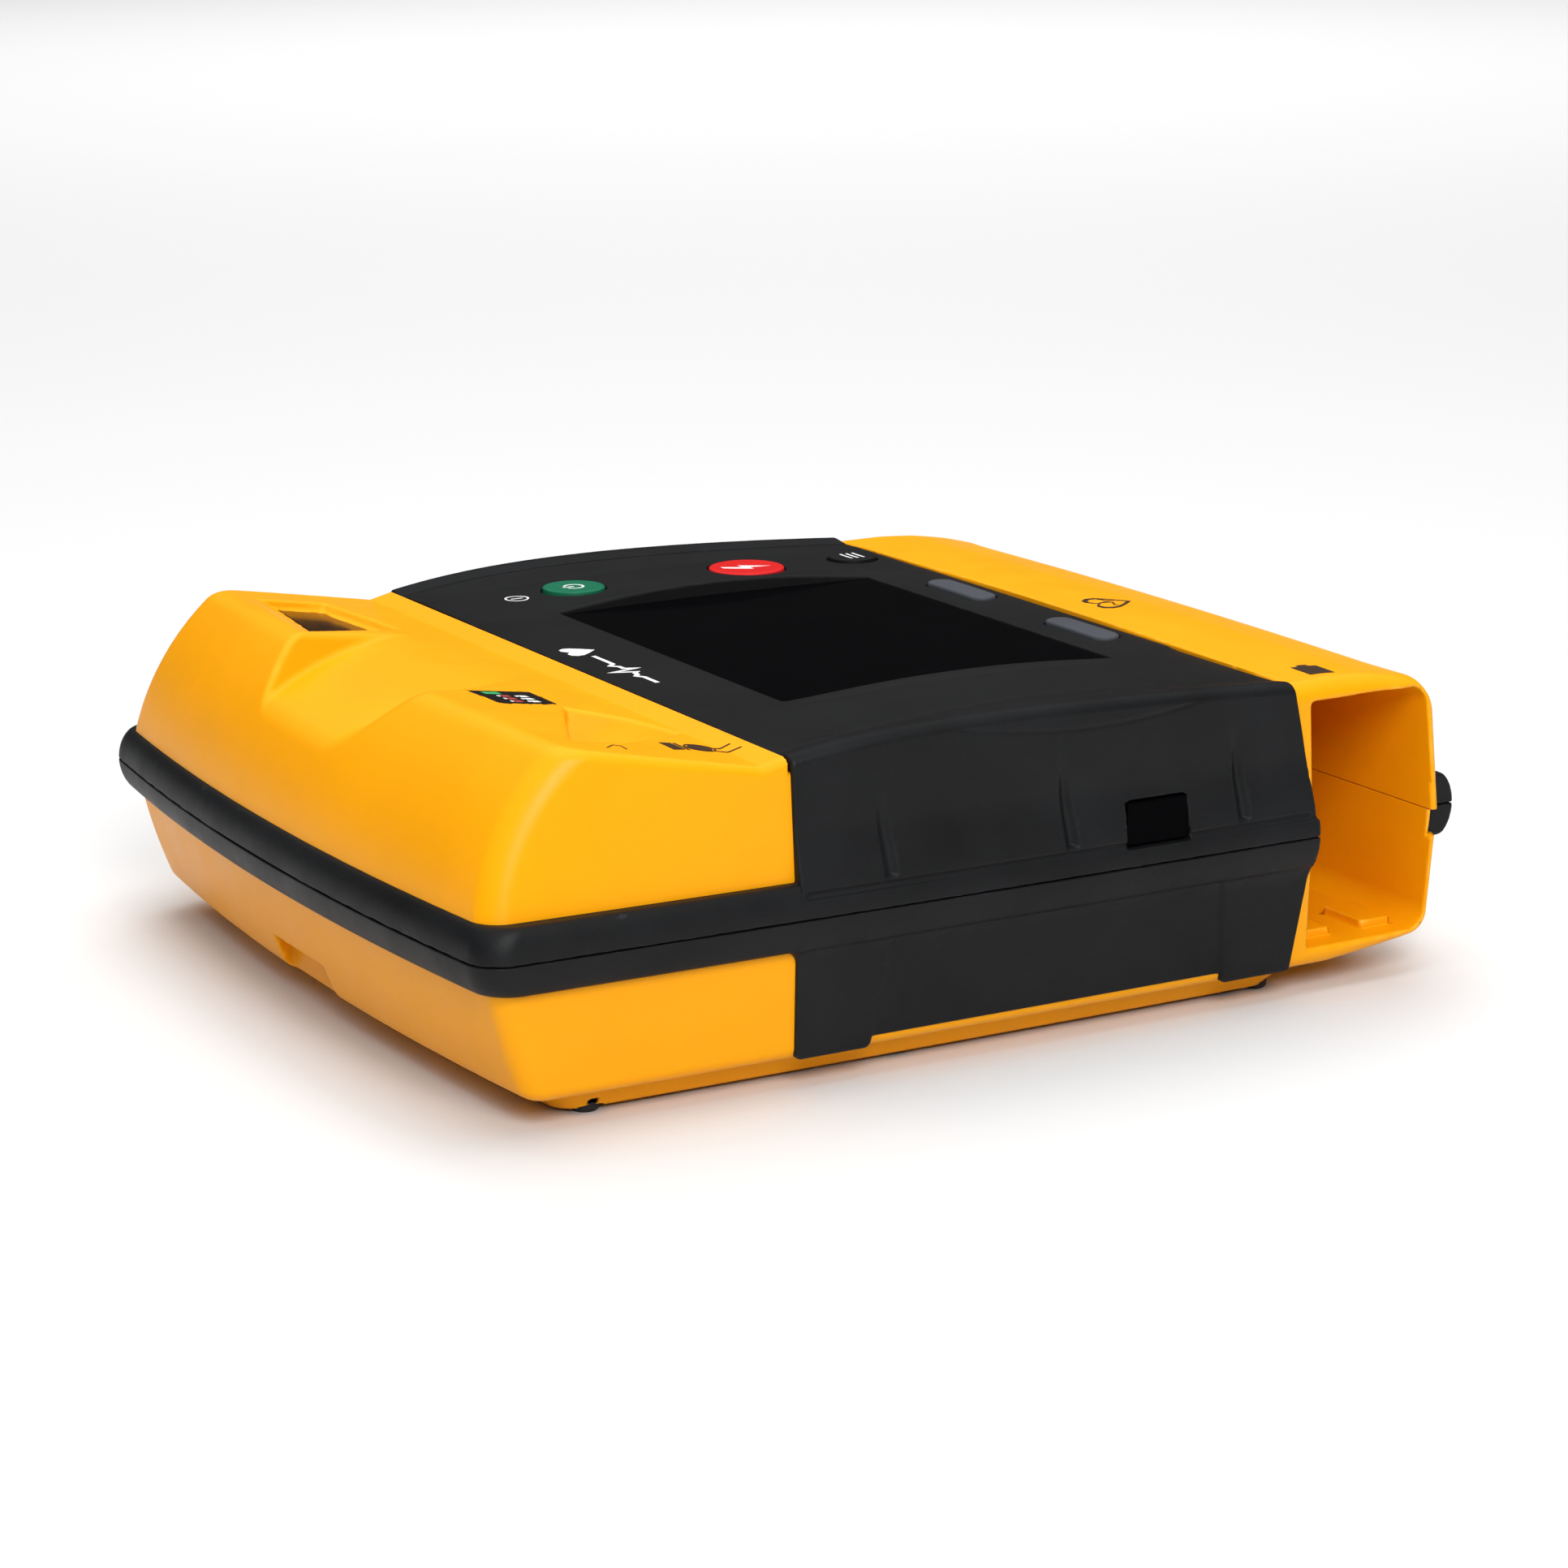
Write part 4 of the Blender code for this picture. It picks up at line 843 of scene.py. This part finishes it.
def finish(name, colour, rough, patch=0.05, grain=1500.0, bump=0.00002, strength=0.25, wear_and_highlight=None,
           metallic=0.0, specular=0.5, stretch=(1, 1, 1)):
    """Moulded or metal finish: mottled colour, patchy gloss, fine grain, and convex edges lightened in spots,
    which is wear and also a painted highlight.
    """
    mat = bpy.data.materials.new(name)
    mat.use_nodes = True
    tree = mat.node_tree
    nodes, links = tree.nodes, tree.links
    shader = nodes["Principled BSDF"]
    shader.inputs["Metallic"].default_value = metallic
    shader.inputs["Specular IOR Level"].default_value = specular
    coords = nodes.new("ShaderNodeTexCoord").outputs["Object"]
    mapping = nodes.new("ShaderNodeMapping")
    mapping.inputs["Scale"].default_value = stretch
    links.new(coords, mapping.inputs["Vector"])
    place = mapping.outputs["Vector"]
    patches = span_node(tree, noise(tree, place, 28.0, 5.0), 0.3, 0.7)
    low = tuple(c * (1 - patch) for c in colour)
    high = tuple(min(1.0, c * (1 + patch)) for c in colour)
    tint = mix_colour(tree, patches, low, high)
    # painted highlight and wear: convex edges, found by pointiness, are mixed towards a lighter colour in
    # spots
    if wear_and_highlight:
        geometry = nodes.new("ShaderNodeNewGeometry")
        edge = span_node(tree, geometry.outputs["Pointiness"], 0.53, 0.6)
        spots = span_node(tree, noise(tree, place, 260.0, 4.0), 0.45, 0.7)
        both = nodes.new("ShaderNodeMath")
        both.operation = "MULTIPLY"
        links.new(edge, both.inputs[0])
        links.new(spots, both.inputs[1])
        tint = mix_colour(tree, both.outputs[0], tint, wear_and_highlight)
    links.new(tint, shader.inputs["Base Color"])
    dull = span_node(tree, noise(tree, place, 90.0, 4.0), 0.25, 0.75, rough - 0.05, rough + 0.06)
    links.new(dull, shader.inputs["Roughness"])
    bumps = nodes.new("ShaderNodeBump")
    bumps.inputs["Strength"].default_value = strength
    bumps.inputs["Distance"].default_value = bump
    links.new(noise(tree, place, grain, 2.0), bumps.inputs["Height"])
    links.new(bumps.outputs["Normal"], shader.inputs["Normal"])
    return mat


# the yellow's lighter edge colour is a painted highlight on its rounded edges as well as wear
yellow = finish("yellow_shell", (0.93, 0.37, 0.0015), 0.36, 0.03, 1400.0, 0.00004, 0.25, (1.0, 0.55, 0.06),
                specular=0.16)
rubber = finish("black_rubber_skin", (0.0058, 0.0062, 0.0070), 0.50, 0.4, 1300.0, 0.00010, 0.5,
                (0.03, 0.031, 0.033), specular=0.20)
panel_black = finish("panel_black", (0.0098, 0.0100, 0.0105), 0.55, 0.12, 1600.0, 0.00003, 0.25,
                     (0.025, 0.025, 0.027), specular=0.10)
part_black = finish("socket_black", (0.017, 0.017, 0.019), 0.45, 0.15, 1200.0, 0.00003, 0.3)
glass = finish("screen_glass", (0.0016, 0.0016, 0.002), 0.12, 0.1, 60.0, 0.000004, 0.1, specular=0.012)
smoke = finish("smoked_pane", (0.03, 0.012, 0.005), 0.12, 0.25, 60.0, 0.000004, 0.1, specular=0.06)
green = finish("green_cap", (0.006, 0.135, 0.068), 0.40, 0.05, specular=0.2)
red = finish("red_cap", (0.62, 0.010, 0.010), 0.38, 0.04, specular=0.2)
menu_black = finish("menu_cap", (0.008, 0.008, 0.0085), 0.5, 0.1, specular=0.14)
key_grey = finish("soft_key_grey", (0.060, 0.065, 0.076), 0.55, 0.07, 1500.0, 0.00003, 0.3, specular=0.2)
white_ink, dark_ink, green_ink, red_ink = (
    finish(f"{name}_print", colour, rough, patch, 900.0, 0.00001, 0.2)
    for name, colour, rough, patch in (
        ("white", (0.80, 0.80, 0.79), 0.55, 0.05), ("dark", (0.035, 0.016, 0.006), 0.55, 0.15),
        ("green", (0.03, 0.38, 0.12), 0.5, 0.08), ("red", (0.42, 0.05, 0.04), 0.5, 0.08)))
label_black = finish("label_film", (0.010, 0.008, 0.007), 0.42, 0.2, 700.0, 0.00001, 0.2, specular=0.12)
steel = finish("brushed_steel", (0.56, 0.57, 0.59), 0.34, 0.06, 900.0, 0.00001, 0.2, metallic=1.0,
               stretch=(1, 14, 1))
brass = finish("contact_gold", (0.78, 0.56, 0.22), 0.28, 0.08, 900.0, 0.00001, 0.2, metallic=1.0)
sink_metal = finish("sink_metal", (0.46, 0.47, 0.49), 0.4, 0.08, 700.0, 0.00002, 0.2, metallic=1.0,
                    stretch=(10, 1, 1))
board_green = finish("board_green", (0.018, 0.15, 0.065), 0.42, 0.25, 420.0, 0.00003, 0.3)
module_grey = finish("module_grey", (0.05, 0.055, 0.06), 0.4, 0.15, 800.0, 0.00002, 0.25)
can_blue = finish("can_sleeve", (0.02, 0.04, 0.09), 0.35, 0.15, 300.0, 0.00002, 0.2)
seal_grey = finish("seal_rubber", (0.03, 0.03, 0.032), 0.7, 0.2, 1200.0, 0.00003, 0.3)
foot_rubber = finish("foot_rubber", (0.022, 0.022, 0.024), 0.62, 0.2, 1200.0, 0.00004, 0.3, specular=0.25)

# ---- pieces
Y_FINE = ((-87.0, -84.0, 0.5), (52.0, 62.0, 0.55))
front_z = grid_lines(40.6, 89.4, 1.15, (40.6, 42.5, 0.3), (73.4, 84.0, 0.75), (84.0, 88.0, 0.6))
body_x = grid_lines(-116.0, 117.0, 1.3, (-116.0, -104.0, 0.8), (104.0, 117.0, 0.8))
body_y = grid_lines(-135.0, 138.0, 1.25, (-134.5, -123.0, 0.8), *Y_FINE)
skin("front_shell", front_shell, (body_x, body_y, front_z), yellow, "front_case")

rear_z = grid_lines(0.3, 42.6, 1.1, (0.3, 2.6, 0.5), (9.0, 14.4, 0.8), (40.4, 42.5, 0.3))
rear_y = grid_lines(-135.0, 138.0, 1.3, (-134.5, -123.0, 0.9))
skin("rear_shell", rear_shell, (body_x, rear_y, rear_z), yellow, "rear_case")

rubber_x = grid_lines(-119.0, 119.0, 1.2, (-119.0, -102.0, 0.6), (102.0, 119.0, 0.6))
rubber_y = grid_lines(-140.0, 140.0, 1.0, (-140.0, -131.0, 0.7), (-87.0, -84.5, 0.4), (52.0, 54.0, 0.4),
                      (130.0, 140.0, 0.7))
rubber_z = grid_lines(40.9, 83.6, 1.0, (40.9, 42.6, 0.3), (45.0, 50.5, 0.4), (72.0, 83.4, 0.5))
skin("front_band", front_rubber, (rubber_x, rubber_y, rubber_z), rubber, "front_bumper")
under_z = grid_lines(6.4, 42.4, 1.0, (6.4, 12.0, 0.7), (31.5, 36.0, 0.6), (40.6, 42.3, 0.3))
skin("rear_band", rear_rubber, (rubber_x, rubber_y, under_z), rubber, "rear_bumper")

panel_x = grid_lines(-104.6, 104.6, 1.2, (-68.0, -58.0, 0.6), (58.0, 94.0, 0.6), (101.0, 104.6, 0.5),
                     (-104.6, -101.0, 0.5))
panel_y = grid_lines(-87.0, 54.6, 1.2, (-87.0, -64.0, 0.6), (25.0, 29.0, 0.5), (52.0, 54.6, 0.5))
panel_z_lines = grid_lines(74.2, 83.2, 0.55, (76.4, 81.8, 0.45))
skin("panel_skin", panel_skin, (panel_x, panel_y, panel_z_lines), panel_black, "front_panel")

glass_x = grid_lines(-64.0, 64.0, 1.5, (-64.0, -58.0, 0.5), (58.0, 64.0, 0.5))
glass_y = grid_lines(-67.6, 27.6, 1.5, (-67.6, -65.0, 0.4), (25.0, 27.6, 0.4))
skin("screen_pane", window_glass, (glass_x, glass_y, grid_lines(75.0, 77.8, 0.35)), glass,
     "display_window")


def cap(name, radius, y, mat, body, node):
    """Flat round button cap with a retaining flange and stem."""
    top = panel_z(y) + CAP_PROUD
    low, high = FLANGE_Z
    profile = [(3.0, STEM_LOW_Z), (3.0, low), (radius + 1.2, low), (radius + 1.2, high),
               (radius - 0.3, high), (radius - 0.3, top - 0.6), (radius - 0.38, top - 0.3),
               (radius - 0.6, top - 0.1), (radius - 0.95, top), (radius * 0.8, top - 0.03),
               (radius * 0.4, top - 0.12), (0.6, top - CAP_DISH)]
    dress(turned(name, profile, (BUTTON_X, y)), mat, body, (node,))
    return top


def key_field(cx):
    """Soft key: a long cap with a slight crown, its flange and its stem."""
    def field(x, y, z):
        crown = z - SOFT_KEY_TOP_Z + 0.0004 * (x - cx) ** 2
        form = round_and(pill(x, y, cx, SOFT_KEY_Y, 28.0, 7.6), crown, 0.8)
        flange = meet(pill(x, y, cx, SOFT_KEY_Y, 30.4, 10.0), span(z, *FLANGE_Z))
        stem = meet(pill(x, y, cx, SOFT_KEY_Y, 10.0, 4.6), span(z, STEM_LOW_Z, 74.0))
        return join(meet(form, 74.0 - z), flange, stem)
    return field


on_top = cap("on_off_cap", ON_OFF_RADIUS, ON_OFF_Y, green, "on_off", "on_off_button")
shock_top = cap("shock_cap", SHOCK_RADIUS, SHOCK_Y, red, "shock", "shock_button")
menu_top = cap("menu_cap", MENU_RADIUS, MENU_Y, menu_black, "menu", "menu_button")
for cx, label in zip(SOFT_KEYS, ("left", "right")):
    key_lines = (grid_lines(cx - 16.0, cx + 16.0, 0.5),
                 grid_lines(SOFT_KEY_Y - 5.8, SOFT_KEY_Y + 5.8, 0.45), grid_lines(71.3, 79.6, 0.4))
    skin(f"soft_key_cap_{label}", key_field(cx), key_lines, key_grey, f"soft_key_{label}",
         f"soft_{label}")

for number, place in enumerate(FEET, 1):
    dress(turned(f"foot_pad_{number}", FOOT_PROFILE, place, 48), foot_rubber,
          nodes=(f"foot_{number}",))


# ---- readiness pane and instruction label
def on_slope(x, y):
    """Height of the instruction label's film."""
    return hump_z(y)


def on_case(x, y, step=0.1):
    """Height of the front case's outer skin, found by stepping down onto it."""
    heights = np.arange(88.0, 66.0, -step)
    values = front_shell(np.full_like(heights, x), np.full_like(heights, y), heights)
    first = int(np.argmax(values < 0))
    share = values[first - 1] / (values[first - 1] - values[first])
    return heights[first - 1] - step * share


readiness_glass = hull_field([(x, y, hump_z(y) - d) for x, y in READINESS_GLASS for d in (2.35, 4.8)], 5.0)
label_slab = hull_field([(x, y, hump_z(y) - d) for x, y in LABEL_CORNERS for d in (0.03, 0.44)], 9.0)
pane_lines = (grid_lines(52.8, 91.8, 0.6), grid_lines(76.0, 100.8, 0.5), grid_lines(74.0, 82.8, 0.4))
skin("readiness_pane", readiness_glass, pane_lines, smoke, "readiness_window")
film_lines = (grid_lines(-49.0, -26.6, 0.5), grid_lines(76.8, 97.4, 0.5), grid_lines(79.2, 84.2, 0.25))
skin("label_film", label_slab, film_lines, label_black, "instruction_label")

pane_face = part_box("infrared_window")[0].x / MM


def infrared_field(x, y, z):
    """Infrared window, standing a little out of its CAD solid's place towards the grip's skin."""
    return round_and(infrared_edge(y, z, 0.35), span(x, pane_face - 0.9, pane_face + 2.6), 0.25)


infrared_lines = (grid_lines(pane_face - 1.5, pane_face + 3.4, 0.35),
                  grid_lines(INFRARED_Y[0] - 0.5, INFRARED_Y[1] + 0.5, 0.5), grid_lines(45.4, 57.4, 0.5))
skin("infrared_pane", infrared_field, infrared_lines, glass, "infrared_window")


# ---- printed symbols, all generic
def cap_top(cy, radius, top):
    """Height function of a button cap's dished top."""
    def height(x, y):
        share = min(1.0, math.hypot(x - BUTTON_X, y - cy) / (0.85 * radius))
        return top - CAP_DISH * (1 - share ** 2)
    return height


def dial_mark(name, cx, cy, size, surface, mat, body="case"):
    """Stand-by symbol: an open ring with an upright bar."""
    ring = arc(cx, cy, size, 120, 420, 30) + arc(cx, cy, size * 0.78, 420, 120, 30)
    bar = box_shape(cx - 0.11 * size, cx + 0.11 * size, cy, cy + 1.15 * size)
    dress(drawn(name, [ring, bar], surface), mat, body)


BOLT = [(1.2, 6.2), (-3.0, -0.6), (-0.5, -0.6), (-1.8, -6.2), (3.0, 1.0), (0.4, 1.0), (2.9, 6.2)]
HEART = [(0, -5.0), (3.2, -1.6), (5.2, 1.1), (5.4, 3.1), (4.2, 4.7), (2.4, 5.0), (0.8, 4.1), (0, 2.9),
         (-0.8, 4.1), (-2.4, 5.0), (-4.2, 4.7), (-5.4, 3.1), (-5.2, 1.1), (-3.2, -1.6)]
PULSE = [(-14, 0), (-7, 0), (-5.2, 1.3), (-3.6, 0), (-2.2, 0), (-1.0, -1.4), (0.9, 5.2), (2.6, -3.4),
         (3.8, 0), (6.2, 0), (7.8, 1.7), (9.4, 0), (20, 0)]

on_surface = cap_top(ON_OFF_Y, ON_OFF_RADIUS, on_top)
dial_mark("power_mark", BUTTON_X, ON_OFF_Y, 2.9, on_surface, white_ink, "on_off")
shock_surface = cap_top(SHOCK_Y, SHOCK_RADIUS, shock_top)
dress(drawn("bolt_mark", [placed(BOLT, BUTTON_X, SHOCK_Y, 1.05)], shock_surface), white_ink, "shock")
bars = [box_shape(BUTTON_X - 3.4, BUTTON_X + 3.4, y, y + 0.7) for y in (-77.4, -75.5, -73.6)]
dress(drawn("menu_mark", bars, cap_top(MENU_Y, MENU_RADIUS, menu_top)), white_ink, "menu")

ring_mark = ring_shapes(80.8, 29.3, 2.75, 3.3)
ring_mark.append(box_shape(80.5, 81.1, 27.6, 31.0))
dress(drawn("ring_mark", ring_mark, panel_top), white_ink)
trace = [placed(HEART, 14.5, 43.6, 0.85), placed(stroke(PULSE, 1.2), -12.5, 43.0, 1.02)]
dress(drawn("pulse_mark", trace, panel_top), white_ink)

inner = [(x * 0.8, y * 0.8 + 0.1) for x, y in HEART]
halves = []
for sign in (1, -1):
    outer_side = [(x, y) for x, y in HEART if x * sign >= 0]
    inner_side = [(x, y) for x, y in inner if x * sign >= 0]
    outer_side.sort(key=lambda p: math.atan2(abs(p[0]), -p[1]))
    inner_side.sort(key=lambda p: math.atan2(abs(p[0]), -p[1]))
    halves.append(placed(outer_side + inner_side[::-1], -10.0, -100.0, 1.25))
halves.append(placed(stroke(PULSE[1:-2], 0.7), -10.0, -99.6, 0.6))
dress(drawn("heart_mark", halves, on_case, 0.16), dark_ink)
cell = [(-95.2, -95.6), (-95.4, -97.7), (-94.2, -97.8), (-94.3, -100.6), (-95.5, -100.7), (-95.7, -102.8),
        (-103.6, -102.6), (-103.4, -95.5)]
dress(drawn("battery_mark", [cell], on_case, 0.16), dark_ink)

plug = [[(-86.6, 73.9), (-86.3, 70.9), (-93.4, 70.7), (-94.4, 74.0)],
        [(-86.2, 70.2), (-86.1, 69.6), (-93.6, 69.4), (-93.5, 70.0)]]
plug += ring_shapes(-90.0, 65.2, 3.3, 3.8)
plug.append(arc(-90.0, 65.2, 2.9, 0, 350, 24))
plug += [stroke([(-89.6, 61.2), (-89.4, 59.4), (-88.8, 56.8)], 0.5),
         stroke([(-92.6, 62.6), (-93.4, 60.0), (-93.2, 56.2)], 0.5)]
dress(drawn("plug_mark", plug, on_case, 0.2), dark_ink)
arrow = [stroke([(-94.0, 89.2), (-98.0, 92.6)], 0.35),
         stroke([(-94.0, 89.2), (-94.5, 87.4), (-98.3, 87.9)], 0.35)]
dress(drawn("arrow_mark", arrow, on_case, 0.16), dark_ink)


def on_label(u, v):
    """Point on the label, u from its top edge to its bottom edge, v from right to left."""
    (ax, ay), (bx, by), (cx, cy), (dx, dy) = LABEL_CORNERS
    top = (ax + (dx - ax) * v, ay + (dy - ay) * v)
    low = (bx + (cx - bx) * v, by + (cy - by) * v)
    return (top[0] + (low[0] - top[0]) * u, top[1] + (low[1] - top[1]) * u)


def label_shape(points):
    """Outline on the label, from shares of its sides."""
    return [on_label(u, v) for u, v in points]


figures, tints = [], []
for row in range(3):
    v = 0.42 + 0.2 * row
    for column in range(2):
        u = 0.36 + 0.3 * column
        head = [(u - 0.07 + 0.028 * math.cos(a), v + 0.045 * math.sin(a)) for a in np.linspace(0, 5.8, 12)]
        body = [(u - 0.035, v - 0.06), (u + 0.10, v - 0.05), (u + 0.12, v + 0.05), (u - 0.03, v + 0.065)]
        (figures if column else tints).append(label_shape(body))
        figures.append(label_shape(head))
band = label_shape(box_shape(0.16, 0.42, 0.12, 0.28))
for name, shapes, ink in (("label_figures", figures, white_ink), ("label_tints", tints, red_ink),
                          ("label_green", [band], green_ink)):
    dress(drawn(name, shapes, on_slope, 0.06, 0.05), ink)

# ---- finishes of the CAD nodes that stay
KEPT = (("case_seal", seal_grey), ("chassis", part_black), ("key_board", board_green),
        ("main_board", board_green), ("infrared_transceiver", module_grey),
        ("readiness_display", module_grey), ("display_module", module_grey), ("display_bracket", steel),
        ("shock_capacitor", can_blue), ("charging_transformer", module_grey),
        ("transfer_relay", part_black), ("switching_module", module_grey), ("heat_sink", sink_metal),
        ("speaker", module_grey), ("backup_cell", steel), ("dome_switch", steel),
        ("electrode_socket", part_black), ("electrode_pin", brass), ("battery_contact_block", part_black),
        ("battery_contact_", brass), ("case_screw", steel), ("ribbon_cable", key_grey))
for node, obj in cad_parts.items():
    for start, mat in KEPT:
        if node.startswith(start):
            for place in obj.material_slots:
                place.material = mat
            if not obj.material_slots:
                obj.data.materials.append(mat)
            break

# ---- floor, lights and camera
FLOOR = 6.0  # half its width, in metres
floor_mat = bpy.data.materials.new("studio_floor")
floor_mat.use_nodes = True
floor_shader = floor_mat.node_tree.nodes["Principled BSDF"]
floor_shader.inputs["Base Color"].default_value = (0.72, 0.72, 0.72, 1)
floor_shader.inputs["Specular IOR Level"].default_value = 0.1
floor_shader.inputs["Roughness"].default_value = 0.85
floor_corners = np.array([(-FLOOR, -FLOOR, 0), (FLOOR, -FLOOR, 0), (FLOOR, FLOOR, 0), (-FLOOR, FLOOR, 0)])
floor = build_mesh("studio_floor", floor_corners, np.array([[0, 1, 2, 3]]))
floor.data.materials.append(floor_mat)

HORIZON = 0.03
ZENITH = 0.85
world = bpy.data.worlds.new("studio")
world.use_nodes = True
sky = world.node_tree
split = sky.nodes.new("ShaderNodeSeparateXYZ")
sky.links.new(sky.nodes.new("ShaderNodeTexCoord").outputs["Generated"], split.inputs["Vector"])
glow = span_node(sky, split.outputs["Z"], 0.3, 0.9, HORIZON, ZENITH)
sky.links.new(glow, sky.nodes["Background"].inputs["Strength"])
sky.nodes["Background"].inputs["Color"].default_value = (1, 1, 1, 1)
bpy.context.scene.world = world
bpy.context.scene.view_settings.view_transform = "Standard"


def soft_box(name, place, target, size, watts):
    """Rectangular area light aimed at a point."""
    data = bpy.data.lights.new(name, "AREA")
    data.shape = "RECTANGLE"
    data.size, data.size_y = size
    data.energy = watts
    obj = bpy.data.objects.new(name, data)
    obj.location = place
    obj.rotation_euler = (Vector(target) - Vector(place)).to_track_quat("-Z", "Y").to_euler()
    bpy.context.scene.collection.objects.link(obj)
    return obj


CENTRE = (0.0, 0.0, 0.05)
soft_box("key", (-1.35, 0.45, 1.0), CENTRE, (0.7, 0.7), 19.0)
soft_box("overhead", (0.1, 0.0, 1.5), CENTRE, (1.2, 1.2), 13.0).visible_glossy = False
soft_box("backdrop", (2.8, -1.6, 2.4), (2.8, -1.6, 0.0), (3.0, 3.0), 78.0).visible_glossy = False

camera_data = bpy.data.cameras.new("camera")
camera_data.lens = 92.0995
camera_data.sensor_width = 36.0
camera = bpy.data.objects.new("camera", camera_data)
# the photograph's viewing angle, fitted to the object's corners
camera.matrix_world = Matrix(((-0.48882, 0.21112, -0.84646, -0.86984), (-0.87236, -0.12637, 0.47225, 0.47849),
                              (-0.00727, 0.96926, 0.24594, 0.29290), (0.0, 0.0, 0.0, 1.0)))
bpy.context.scene.collection.objects.link(camera)
bpy.context.scene.camera = camera
